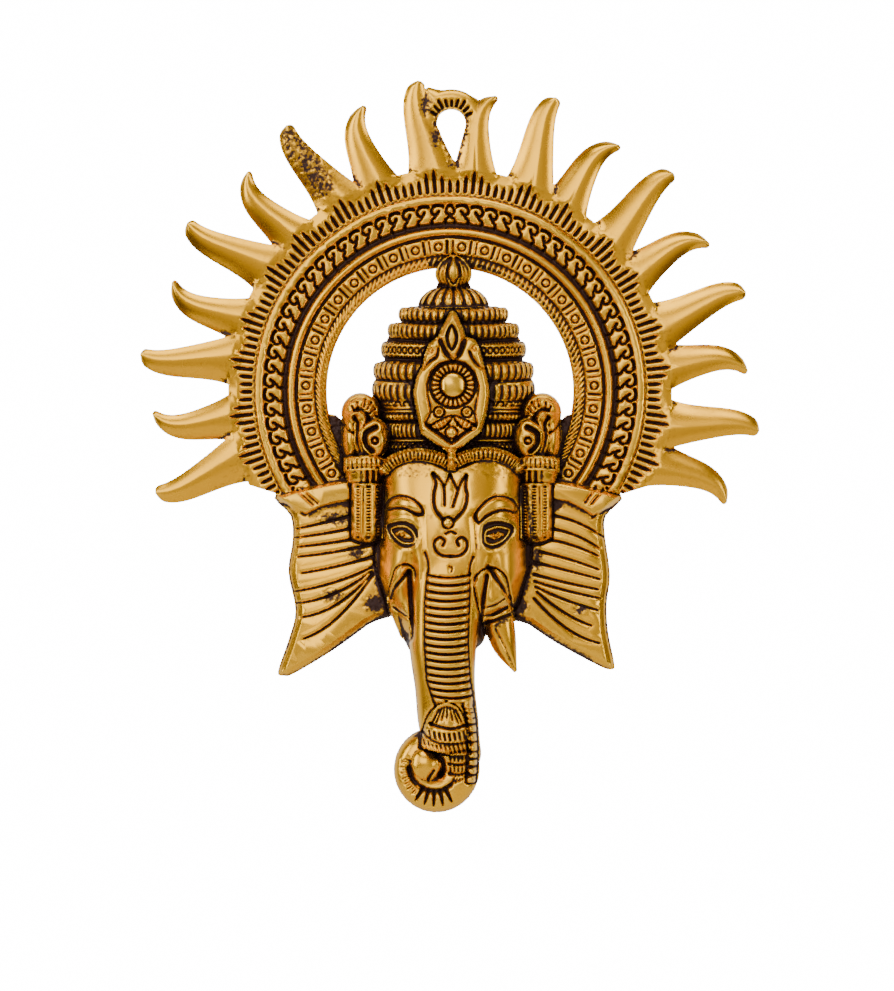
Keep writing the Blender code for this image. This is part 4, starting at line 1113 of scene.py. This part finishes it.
# %% One temple's fan, scroll, cuff and cup
def ornament(side):
    """Everything is written for the left temple, as far from the axis as the photo shows it."""

    def at(x, u):
        return (ORNAMENT_AXIS + side * x, u)

    def swelling(x, u, half_x, half_u, low, tall, moat):
        part, edge, height = dome(*at(x, u), half_x, half_u)
        lay(part, edge, low + tall * height, moat=moat)

    swelling(30.6, -14.2, 3.6, 8.6, 6.0, 6.5, 1.0)
    swelling(28.4, -7.0, 6.0, 6.3, 7.0, 6.5, 2.0)
    rim = [at(28.4 + 4.9 * math.cos(t), -7.4 + 5.2 * math.sin(t)) for t in np.linspace(0.9, 3.3, 10)]
    stroke(rim, 0.3, -0.9)
    swelling(27.9, -13.6, 2.6, 7.6, 9.5, 4.0, 1.0)
    part, edge, height = dome(*at(24.0, -14.9), 4.2, 5.9, power=0.35)
    lay(part, edge, 11.5 + 5.0 * height, moat=1.2)
    for start, end in (
        ((31.0, -4.9), (30.3, -6.5)),
        ((29.4, -3.6), (29.2, -5.8)),
        ((26.8, -3.0), (27.3, -5.1)),
        ((25.1, -3.8), (26.3, -5.8)),
        ((23.9, -5.8), (25.6, -7.2)),
    ):
        stroke([at(*start), at(*end)], 0.36, -1.3)
    stroke(smooth([at(30.0, -6.2), at(28.0, -6.1), at(26.5, -7.5), at(25.8, -9.0)]), 0.42, -1.8)
    hook = [at(31.2, -7.8), at(29.4, -7.0), at(27.6, -7.8), at(27.1, -9.8), at(28.1, -12.2), at(28.1, -16.0)]
    stroke(smooth(hook), 0.8, 1.5, taper=0.3)
    stroke(smooth([at(30.3, -8.4), at(29.2, -10.2), at(29.1, -12.5)]), 0.5, -2.0)
    stroke(smooth([at(29.4, -13.4), at(29.3, -16.0), at(28.4, -19.4)]), 0.45, -1.5)
    crescent = smooth([at(23.6, -11.5), at(26.3, -13.0), at(27.0, -14.9), at(26.4, -17.3), at(24.6, -19.0)])
    stroke(crescent, 0.8, -3.2)
    hollow = around(crescent, 2)
    distance, _ = to_line(crescent, hollow)
    add_patina_and_shade(hollow, 0.9 * (distance < 0.65))
    part, edge, _ = dome(*at(23.8, -15.7), 1.9, 1.9)
    cut(part, edge - 0.95, 0.4, 1.9)
    middle = at(27.0, 0)[0]
    cuff = area(middle - 7, middle + 7, -26, -19.5)
    x = (across[cuff] - middle) / 6.3
    v = (up[cuff] + 22.7 + 0.5 * x**2) / 1.9
    edge = np.minimum((1 - np.abs(x)) * 6.3, (1 - np.abs(v)) * 1.9)
    swell = 4.6 * np.sqrt(np.clip(1 - x**2, 0, 1)) + 1.2 * np.sqrt(np.clip(1 - v**2, 0, 1))
    lay(cuff, edge, 10.4 + swell, moat=1.2)
    notch = bumps(across[cuff] - middle, 1.5, 0.6)
    rise[cuff] -= 1.7 * (1 - notch) * (edge > 0.2)
    cup = area(middle - 7, middle + 7, -31, -23.5)
    fall = np.clip((-24.3 - up[cup]) / 5.3, 0, 1)
    half = 5.9 - 1.5 * fall**2
    x = (across[cup] - middle) / half
    edge = np.minimum((1 - np.abs(x)) * half, np.minimum(up[cup] + 29.6, -24.3 - up[cup]))
    lay(cup, edge, 9.6 + 5.0 * np.sqrt(np.clip(1 - x**2, 0, 1)) - 1.5 * fall**2, moat=1.0)
    for step in range(4):
        spot = at(22.4 + 1.9 * step, 0)[0]
        deep = 2.0 if step < 3 else 0.7
        stroke([(spot, -25.4), (spot, -28.6)], 0.45, -deep)


for side in (-1, 1):
    ornament(side)
print("two ornaments, mirrored about", ORNAMENT_AXIS, "mm")


# %% [markdown]
# A tassel hangs from each cup. Three grooves run down it, each filled with small round beads, and a
# plain flute between two of them. A groove cut first, with beads set into it, keeps a dark line on
# both sides of every row.

# %% The tassels
def tassel(middle, half, bead_columns, plain_lines):
    """Dotted grooves and plain flutes run down it between the cup and its rounded foot."""
    part = area(middle - 7, middle + 7, -50, -28)
    x = (across[part] - middle) / half
    bottom = -47.6 + 1.4 * x**2
    edge = np.minimum((1 - np.abs(x)) * half, np.minimum(up[part] - bottom, -29.4 - up[part]))
    foot = np.clip((up[part] - bottom) / 3.0, 0, 1) ** 0.5
    lay(part, edge, 6.0 + 7.6 * (1 - x**4 * 0.5) * foot, moat=2.5)
    for lean in bead_columns:
        stroke([(middle + lean, -30.2), (middle + lean, -45.8)], 0.72, -2.0)
        dots = np.exp(-(((across[part] - middle - lean) / 0.42) ** 2)) * bumps(up[part], 0.98, 1.3)
        rise[part] += 2.0 * dots * (up[part] < -30.4) * (up[part] > -45.6)
    for lean in plain_lines:
        stroke([(middle + lean, -30.2), (middle + lean, -45.0)], 0.34, -1.0)


tassel(-25.8, 4.7, (-2.9, 0.4, 3.5), (-1.1,))
tassel(26.7, 4.7, (-3.5, -0.4, 2.9), (1.1,))
print("two tassels")

# %% [markdown]
# The rope is twisted cord, so it is a round bar notched across at an even pitch. Between the arches
# the shield's narrow tail comes down to the forehead.

# %% The rope over the brow
ROPE_HALF = 1.6
LEFT_ARCH = [
    (-20.6, -24.6), (-19.7, -23.5), (-16.9, -21.6), (-13.5, -20.4), (-10.0, -20.0), (-6.6, -20.3),
    (-3.1, -21.3), (-0.6, -22.5),
]
RIGHT_ARCH = [
    (21.4, -24.0), (20.1, -22.6), (16.9, -20.8), (12.5, -19.7), (7.8, -20.0), (4.7, -20.8),
    (1.4, -22.4),
]
SHIELD_TAIL = (0.4, -18.6, -24.5)
for line in (LEFT_ARCH, RIGHT_ARCH):
    curve = smooth(line)
    part = around(curve, 4)
    distance, along = to_line(curve, part)
    edge = ROPE_HALF - distance
    round_top = 1.6 * np.sqrt(np.clip(1 - (distance / ROPE_HALF) ** 2, 0, 1))
    lay(part, edge, 20.8 - 0.0165 * (across[part] - 0.6) ** 2 + round_top, moat=0.9)
    notch = bumps(along * 27, 1.35, 0.7)
    rise[part] -= 1.6 * (1 - notch) * (edge > 0)
tail = area(-2, 3, SHIELD_TAIL[2] - 1, SHIELD_TAIL[1] + 1)
off = np.abs(across[tail] - SHIELD_TAIL[0])
edge = np.minimum(0.95 - off, np.minimum(up[tail] - SHIELD_TAIL[2], SHIELD_TAIL[1] - up[tail]))
lay(tail, edge, 22.6 - 0.5 * off**2, moat=1.2)
print("rope", 2 * ROPE_HALF, "mm thick")

# %% [markdown]
# ## Dirt that wiping can't reach, and painted shade beside the head
#
# Some brown stays where no cloth gets: beside the head, in the feet of the flames, on the thin web
# and on one flame that was cast rough. Beside the head the darkening is partly that brown and partly
# painted shade where the tall head stands over the ears. A pattern alone wouldn't know where these
# places lie, so they are marked on the sheet. The skin is pitted there too, which gives the brown
# something to hold.

# %% Beside the head, in the flames' feet and on the rough flame
ROUGH_FLAME = 122.0
ear_area = area(-56, 56, -92, -30)
from_head = -within(smooth(HEAD, closed=True, steps=3), ear_area)
beside = np.exp(-((from_head / 2.2) ** 2)) * (from_head > 0) * (np.abs(across[ear_area] - HEAD_ACROSS) > 13)
# Partly brown left in the deep hollow beside the head, partly painted shade of the head.
add_patina_and_shade(ear_area, 0.75 * beside)
feet = np.exp(-(((radius - 69.5) / 3.0) ** 2)) * (above_ears(whole) > -6)
add_patina_and_shade(whole, 0.24 * feet)
on_flames = np.clip((radius - 70) / 3, 0, 1)
add_patina_and_shade(whole, 0.16 * on_flames)
rough_flame = np.exp(-(((angle - ROUGH_FLAME) / 4.5) ** 2)) * on_flames
add_patina_and_shade(whole, 0.6 * rough_flame)
print(f"rough flame at {ROUGH_FLAME} degrees")

# %% On the web, on the rope edge behind the crown, and the shield left clean
bare_web = (rise < WEB_RISE + 0.5) & (rise > WEB_RISE - 0.6) & (radius < HALO_INNER + 1.2)
bare_web &= (up < -1.5) & (up > -35) & (inside > 0.2)
add_patina_and_shade(whole, 0.9 * bare_web)
over_rope = np.exp(-(((radius - HALO_INNER - 1.4) / 1.9) ** 2)) * (np.abs(angle - 84) < 16)
worn_rope = np.exp(-(((radius - HALO_INNER - 1.0) / 1.7) ** 2)) * (np.abs(angle - 42) < 30)
add_patina_and_shade(whole, np.maximum(0.62 * over_rope, 0.4 * worn_rope))
shield_area = around(SHIELD, 2)
patina_and_shade[shield_area] *= within(smooth(SHIELD, closed=True, steps=3), shield_area) < 0
near_web = np.exp(-(((radius - HALO_INNER) / 2.4) ** 2)) * (up < -5) * (radius > HALO_INNER)
add_patina_and_shade(whole, 0.4 * near_web)
print("shield wiped clean")

# %% Fine pits under the patina and painted shade
PIT_DEPTH = 0.16
pits = np.random.default_rng(11).standard_normal(rise.shape)
for axis in (0, 1):
    pits = pits + np.roll(pits, 1, axis) + np.roll(pits, -1, axis)
pits = np.clip(pits / pits.std(), -0.6, 2.2) * (np.hypot(across - 0.5, up + 45) > 21)
rise -= PIT_DEPTH * np.clip(patina_and_shade - 0.2, 0, 0.5) / 0.5 * pits
print(f"stains on {np.mean(patina_and_shade[inside > 0] > 0.2):.0%} of the front")

# %% [markdown]
# ## From the sheet to one closed casting
#
# The grid becomes faces wherever it is metal, and points just outside the outline slide onto it, so
# the edge runs smooth instead of in steps. A Decimate modifier thins flat stretches and keeps the
# points in the strokes. Then the outline drops straight back to the wall, where the back is flat.

# %% Faces from the grid, with the outline pulled smooth
LEAST_RISE = 1.4
rise = np.maximum(rise, LEAST_RISE)
slope_up, slope_across = np.gradient(inside, GRID_STEP)
steep = np.maximum(slope_up**2 + slope_across**2, 0.3)
outside = inside < 0
shift_across = np.where(outside, -inside * slope_across / steep, 0.0)
shift_up = np.where(outside, -inside * slope_up / steep, 0.0)
far = np.maximum(np.hypot(shift_across, shift_up) / (1.3 * GRID_STEP), 1)
spots = np.stack([across + shift_across / far, -rise, up + shift_up / far - NAIL_ABOVE_HALO], axis=-1)
index = np.arange(across.size).reshape(across.shape)
metal = ~outside
cell = metal[:-1, :-1].astype(int) + metal[1:, :-1] + metal[:-1, 1:] + metal[1:, 1:]
rows, columns = np.nonzero(cell >= 2)
ring_of_four = ((rows, columns), (rows, columns + 1), (rows + 1, columns + 1), (rows + 1, columns))
corners = np.stack([index[place] for place in ring_of_four], axis=1)
used, faces = np.unique(corners, return_inverse=True)
points = spots.reshape(-1, 3)[used] * MM
mesh = bpy.data.meshes.new("ganesha")
mesh.from_pydata(points.tolist(), [], faces.reshape(-1, 4).tolist())
casting = bpy.data.objects.new("ganesha", mesh)
bpy.context.scene.collection.objects.link(casting)
print(f"{len(faces) // 4} cells of metal")

# %% Thinned to its share of triangles
thin = casting.modifiers.new("thin", "DECIMATE")
thin.ratio = min(1.0, MOST_TRIANGLES / (2 * len(mesh.polygons)))
graph = bpy.context.evaluated_depsgraph_get()
mesh = bpy.data.meshes.new_from_object(casting.evaluated_get(graph))
casting.modifiers.clear()
casting.data = mesh
print(f"{len(mesh.polygons)} faces after thinning")

# %% The edge dropped back to the wall, and the flat back
bm = bmesh.new()
bm.from_mesh(mesh)
loose = [vert for vert in bm.verts if not vert.link_faces]
bmesh.ops.delete(bm, geom=loose, context="VERTS")
rim = [edge for edge in bm.edges if len(edge.link_faces) == 1]
made = bmesh.ops.extrude_edge_only(bm, edges=rim)["geom"]
for item in made:
    if isinstance(item, bmesh.types.BMVert):
        item.co.y = 0.0
back_rim = [item for item in made if isinstance(item, bmesh.types.BMEdge)]
bmesh.ops.triangle_fill(bm, use_beauty=True, edges=back_rim, normal=(0, 1, 0))
bmesh.ops.recalc_face_normals(bm, faces=bm.faces)
bmesh.ops.triangulate(bm, faces=bm.faces)
open_edges = sum(len(edge.link_faces) != 2 for edge in bm.edges)
bm.to_mesh(mesh)
bm.free()
print(f"{len(mesh.polygons)} triangles, {open_edges} open edges")

# %% [markdown]
# ## Smooth light on the relief
#
# Thinning leaves long triangles that would glint like crumpled foil on plain gold. The sheet still
# knows the true slope everywhere, so every corner of the front gets its normal from the sheet, and
# the light runs as smoothly as on the casting. The walls and the back keep their own flat normals.

# %% Normals from the sheet's slope
def at_points(sheet, xs, us):
    """The sheet's value at each point, between the four grid points around it."""
    columns = np.clip((xs - grid_across[0]) / GRID_STEP, 0, len(grid_across) - 1.001)
    rows = np.clip((us - grid_up[0]) / GRID_STEP, 0, len(grid_up) - 1.001)
    column, row = columns.astype(int), rows.astype(int)
    right, top = columns - column, rows - row
    low = sheet[row, column] * (1 - right) + sheet[row, column + 1] * right
    high = sheet[row + 1, column] * (1 - right) + sheet[row + 1, column + 1] * right
    return low * (1 - top) + high * top


places = np.empty(len(mesh.vertices) * 3)
mesh.vertices.foreach_get("co", places)
places = places.reshape(-1, 3) / MM
xs, us = places[:, 0], places[:, 2] + NAIL_ABOVE_HALO
front = places[:, 1] < -0.2
rise_up, rise_across = np.gradient(rise, GRID_STEP)
lie = np.stack([-at_points(rise_across, xs, us), -np.ones(len(xs)), -at_points(rise_up, xs, us)], axis=1)
lie /= np.linalg.norm(lie, axis=1, keepdims=True)
corner_vertex = np.empty(len(mesh.loops), int)
mesh.loops.foreach_get("vertex_index", corner_vertex)
face_normal = np.empty(len(mesh.polygons) * 3)
mesh.polygons.foreach_get("normal", face_normal)
face_normal = face_normal.reshape(-1, 3)
of_face = np.repeat(np.arange(len(mesh.polygons)), 3)
is_front = front[corner_vertex].reshape(-1, 3).all(axis=1)
normals = np.where(is_front[of_face][:, None], lie[corner_vertex], face_normal[of_face])
mesh.shade_smooth()
mesh.normals_split_custom_set(normals.tolist())
print(f"{is_front.sum()} faces in front, {(~is_front).sum()} in the walls and back")

# %% [markdown]
# ## Where the patina stays
#
# Wiping takes the brown off whatever stands proud and leaves it in whatever lies low. So the patina
# follows how far each point lies below the metal around it, at two distances: half a millimetre for
# the strokes and three for the hollows between forms. Each vertex carries that number.

# %% Height below the surroundings, at two distances
def blurred(sheet, width):
    reach = int(3 * width / GRID_STEP) + 1
    weights = np.exp(-0.5 * (np.arange(-reach, reach + 1) * GRID_STEP / width) ** 2)
    weights /= weights.sum()
    for axis in (0, 1):
        total = np.zeros_like(sheet)
        for shift, weight in zip(range(-reach, reach + 1), weights):
            total += weight * np.roll(sheet, shift, axis)
        sheet = total
    return sheet


solid = (inside > -GRID_STEP).astype(float)
fine = blurred(rise * solid, 0.7) / np.maximum(blurred(solid, 0.7), 0.05) - rise
wide = blurred(rise * solid, 2.4) / np.maximum(blurred(solid, 2.4), 0.05) - rise
# This number darkens the gold: the patina itself, and a brown film beside it that is partly painted shade.
recess = np.clip(fine / 0.5, 0, 1.2) + np.clip((wide - 0.7) / 3.0, 0, 0.7) + patina_and_shade
RIM_WIPED = 0.8
recess *= np.clip(inside / RIM_WIPED, 0.3, 1.0)
# This number lightens the crests' gold: partly rubbed metal, partly painted highlight.
proud = np.clip(-fine / 0.5, 0, 1)
for name, sheet in (("recess", recess), ("proud", proud)):
    values = np.where(front, at_points(sheet, xs, us), 0.3)
    mesh.attributes.new(name, "FLOAT", "POINT").data.foreach_set("value", values)
print(f"patina in {np.mean(recess[metal] > 0.5):.0%} of the front")

# %% [markdown]
# ## The finish
#
# The finish is antique gold plate: a light casting, tumbled, plated, dipped in a dark brown lacquer
# and relieved with a cloth. To the eye that is a satin metal with nearly black, dull lacquer in each
# stroke. Its colour is lighter on the crests, partly where the cloth rubbed most and partly painted
# highlight, and brown beside each stroke, partly the lacquer's thin film and partly painted shade.
# The metal keeps the default IOR. Colour follows the two numbers that the vertices carry, gloss the
# first of them and a slow pattern, and the bump follows two fine patterns.

# %% Colours and node helpers
GOLD = "#E9AA1C"
# Lighter gold for the crests: partly where the cloth rubbed, partly painted highlight.
GOLD_WORN_AND_HIGHLIGHT = "#F5C440"
# Brown beside the strokes: partly the lacquer's thin film, partly painted shade.
GOLD_FILM_AND_SHADE = "#8A5624"
PATINA = "#2C0E07"


def colour(code):
    """An sRGB hex code as linear red, green, blue and alpha."""
    parts = [int(code[place:place + 2], 16) / 255 for place in (1, 3, 5)]
    return [part / 12.92 if part <= 0.04045 else ((part + 0.055) / 1.055) ** 2.4 for part in parts] + [1.0]


def add(tree, kind, values=None, **settings):
    """Adds a node, with its settings and what goes into each input: a value or another output."""
    node = tree.nodes.new(kind)
    for name, setting in settings.items():
        setattr(node, name, setting)
    for name, value in (values or {}).items():
        socket = node.inputs[name]
        if isinstance(value, bpy.types.NodeSocket):
            tree.links.new(value, socket)
        else:
            socket.default_value = value
    return node


def new_material(name):
    made = bpy.data.materials.new(name)
    made.use_nodes = True
    made.node_tree.nodes.clear()
    return made, made.node_tree


print("gold", [round(part, 3) for part in colour(GOLD)[:3]], "linear")

# %% The plate's patterns, each at its real size
PATTERNS = (
    # size in mm and detail
    (1.1111, 3.0),  # how finely the brown's edge breaks up
    # The brown film that the next pattern varies is partly painted shade.
    (16.667, 2.0),  # how slowly the film changes over the piece
    (0.45455, 2.0),  # cast grain, really about 0.2 mm, drawn as coarse as it needs to show
)
gold, tree = new_material("antique_gold_plate")
place = add(tree, "ShaderNodeTexCoord").outputs["Object"]
low = add(tree, "ShaderNodeAttribute", attribute_name="recess").outputs["Fac"]
high = add(tree, "ShaderNodeAttribute", attribute_name="proud").outputs["Fac"]
noises = []
for size, detail in PATTERNS:
    values = {"Vector": place, "Scale": 1 / (size * MM), "Detail": detail}
    noises.append(add(tree, "ShaderNodeTexNoise", values).outputs["Fac"])
mottle, drift, grain = noises
print("patterns of", [size for size, _ in PATTERNS], "mm")

# %% Where the brown lies, and its thin film that is partly painted shade
SOFT = {"interpolation_type": "SMOOTHSTEP"}
RAGGED = 0.2
DARK = {1: 0.4, 2: 0.76}
FILM_AND_SHADE = {1: 0.28, 2: 0.85}

uneven = add(tree, "ShaderNodeMapRange", {0: mottle, 1: 0.3, 2: 0.7, 3: -RAGGED, 4: RAGGED}, **SOFT)
ragged = add(tree, "ShaderNodeMath", {0: low, 1: uneven.outputs[0]}, operation="ADD").outputs[0]
dark = add(tree, "ShaderNodeMapRange", {0: ragged, **DARK}, **SOFT).outputs[0]
patchy = add(tree, "ShaderNodeMapRange", {0: drift, 1: 0.35, 2: 0.65, 3: -0.06, 4: 0.1}, **SOFT)
# The film's brown, partly the lacquer's film and partly painted shade.
film_and_shade_in = add(tree, "ShaderNodeMath", {0: ragged, 1: patchy.outputs[0]}, operation="ADD").outputs[0]
film_and_shade = add(tree, "ShaderNodeMapRange", {0: film_and_shade_in, **FILM_AND_SHADE}, **SOFT).outputs[0]
print("brown from", DARK[1], "and film from", FILM_AND_SHADE[1], "on the recess scale")

# %% Colour, gloss and bump
WORN_AND_HIGHLIGHT = 0.6
SATIN = {1: 0.3, 2: 0.7, 3: 0.24, 4: 0.33}
DULLER = 0.3
LESS_METAL = 0.6

# Lighter gold on the crests, partly rubbed metal and partly painted highlight.
worn_and_highlight = add(tree, "ShaderNodeMath", {0: high, 1: WORN_AND_HIGHLIGHT}, operation="MULTIPLY").outputs[0]
# Mixes in the brown that is partly film and partly painted shade.
tone = add(tree, "ShaderNodeMix", {0: film_and_shade, 6: colour(GOLD), 7: colour(GOLD_FILM_AND_SHADE)}, data_type="RGBA")
tone = add(tree, "ShaderNodeMix", {0: worn_and_highlight, 6: tone.outputs[2], 7: colour(GOLD_WORN_AND_HIGHLIGHT)}, data_type="RGBA")
tone = add(tree, "ShaderNodeMix", {0: dark, 6: tone.outputs[2], 7: colour(PATINA)}, data_type="RGBA")
satin = add(tree, "ShaderNodeMapRange", {0: drift, **SATIN}, **SOFT).outputs[0]
duller = add(tree, "ShaderNodeMath", {0: dark, 1: DULLER}, operation="MULTIPLY").outputs[0]
rough = add(tree, "ShaderNodeMath", {0: satin, 1: duller}, operation="ADD").outputs[0]
lost = add(tree, "ShaderNodeMath", {0: dark, 1: LESS_METAL}, operation="MULTIPLY").outputs[0]
metallic = add(tree, "ShaderNodeMath", {0: 1.0, 1: lost}, operation="SUBTRACT").outputs[0]
values = {"Height": mottle, "Strength": 0.1, "Distance": 0.1 * MM}
coarse = add(tree, "ShaderNodeBump", values).outputs[0]
values = {"Height": grain, "Strength": 0.2, "Distance": 0.04 * MM, "Normal": coarse}
bump = add(tree, "ShaderNodeBump", values)
values = {"Base Color": tone.outputs[2], "Metallic": metallic, "Roughness": rough}
shader = add(tree, "ShaderNodeBsdfPrincipled", {**values, "Normal": bump.outputs[0]})
add(tree, "ShaderNodeOutputMaterial", {"Surface": shader.outputs[0]})
print("roughness", SATIN[3], "to", SATIN[4], "on the gold")

# %% The finish on the casting
mesh.materials.append(gold)
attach(casting, "root")
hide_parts("ganesha_casting")
print("finish:", gold.name)

# %% [markdown]
# ## Studio
#
# A metal shows what it reflects, so the room matters more than the lamps. The real piece was shot in
# a light tent: mid grey round the lens, dark beyond it, and bright white at the sides and behind.
# Flat gold mirrors the first, slopes mirror the dark as deep bronze, and steep rims catch the white.
# The camera itself sees plain white behind the piece, as in the photo.

# %% The room
ROOM = (
    # from straight in front of the plaque, 0, to straight behind it, 1
    (0.0, "#E0DACC"),
    (0.1, "#C4BBAA"),
    (0.24, "#5E5144"),
    (0.42, "#453A30"),
    (0.56, "#857562"),
    (0.72, "#FFFFFF"),
)
ROOM_STRENGTH = 1.15
PAPER_WHITE = "#FFFFFF"
PAPER_STRENGTH = 16.0

world = bpy.context.scene.world or bpy.data.worlds.new("room")
bpy.context.scene.world = world
world.use_nodes = True
tree = world.node_tree
tree.nodes.clear()
direction = add(tree, "ShaderNodeTexCoord").outputs["Generated"]
split = add(tree, "ShaderNodeSeparateXYZ", {0: direction})
share = add(tree, "ShaderNodeMapRange", {0: split.outputs["Y"], 1: -1.0, 2: 1.0}).outputs[0]
ramp = add(tree, "ShaderNodeValToRGB", {0: share})
stops = ramp.color_ramp.elements
for stop, (position, code) in zip(stops, (ROOM[0], ROOM[-1])):
    stop.position, stop.color = position, colour(code)
for position, code in ROOM[1:-1]:
    stops.new(position).color = colour(code)
room = add(tree, "ShaderNodeBackground", {"Color": ramp.outputs[0], "Strength": ROOM_STRENGTH})
seen = add(tree, "ShaderNodeBackground", {"Color": colour(PAPER_WHITE), "Strength": PAPER_STRENGTH})
path = add(tree, "ShaderNodeLightPath").outputs["Is Camera Ray"]
mixed = add(tree, "ShaderNodeMixShader", {0: path, 1: room.outputs[0], 2: seen.outputs[0]})
add(tree, "ShaderNodeOutputWorld", {"Surface": mixed.outputs[0]})
print(f"room of {len(ROOM)} tones")

# %% [markdown]
# Four large soft lamps stand in for the tent's lit walls. The one in front, high on the left, draws
# the bright crests, and the two at the sides draw the long highlights on the trunk and flames.

# %% The lamps
LAMPS = (
    # name, place in metres, width and height in metres, watts
    ("front", (-0.5, -1.5, 0.5), (1.5, 1.0), 12.6),
    ("left", (-1.1, -0.5, 0.15), (0.4, 1.2), 8.0),
    ("right", (1.2, -0.6, 0.1), (0.3, 1.1), 6.0),
    ("above", (0.0, -0.6, 1.1), (1.2, 0.5), 9.0),
)
LAMPS_AIM = (0.0, 0.0, -0.12)
for name, place, (wide_side, tall_side), watts in LAMPS:
    data = bpy.data.lights.new(name, "AREA")
    data.shape = "RECTANGLE"
    data.size, data.size_y, data.energy = wide_side, tall_side, watts
    lamp = bpy.data.objects.new(name, data)
    lamp.location = place
    aim = Vector(LAMPS_AIM) - Vector(place)
    lamp.rotation_euler = aim.to_track_quat("-Z", "Y").to_euler()
    bpy.context.scene.collection.objects.link(lamp)
print(f"{len(LAMPS)} lamps")

# %% [markdown]
# A plaque hangs on a wall, so the floor is only a small pale board well below it, out of the
# picture. It is stage and no part of the piece.

# %% Floor
FLOOR_BELOW = 0.30
FLOOR_RADIUS = 0.27
FLOOR_PAINT = "#E9E6E0"
PAINT_MOTTLE = 25.0  # mm, the waviness that a roller leaves
pale, tree = new_material("pale_painted_board")
noise = add(tree, "ShaderNodeTexNoise", {"Scale": 1 / (PAINT_MOTTLE * MM), "Detail": 3.0}).outputs["Fac"]
rough = add(tree, "ShaderNodeMapRange", {0: noise, 1: 0.3, 2: 0.7, 3: 0.55, 4: 0.65}).outputs[0]
shader = add(tree, "ShaderNodeBsdfPrincipled", {"Base Color": colour(FLOOR_PAINT), "Roughness": rough})
add(tree, "ShaderNodeOutputMaterial", {"Surface": shader.outputs[0]})
bm = bmesh.new()
bmesh.ops.create_circle(bm, cap_ends=True, segments=96, radius=FLOOR_RADIUS)
floor = bpy.data.objects.new("floor", bpy.data.meshes.new("floor"))
bm.to_mesh(floor.data)
bm.free()
floor.data.materials.append(pale)
floor.location = (0, 0, -FLOOR_BELOW)
bpy.context.scene.collection.objects.link(floor)
print(f"floor {FLOOR_BELOW} m below the nail")
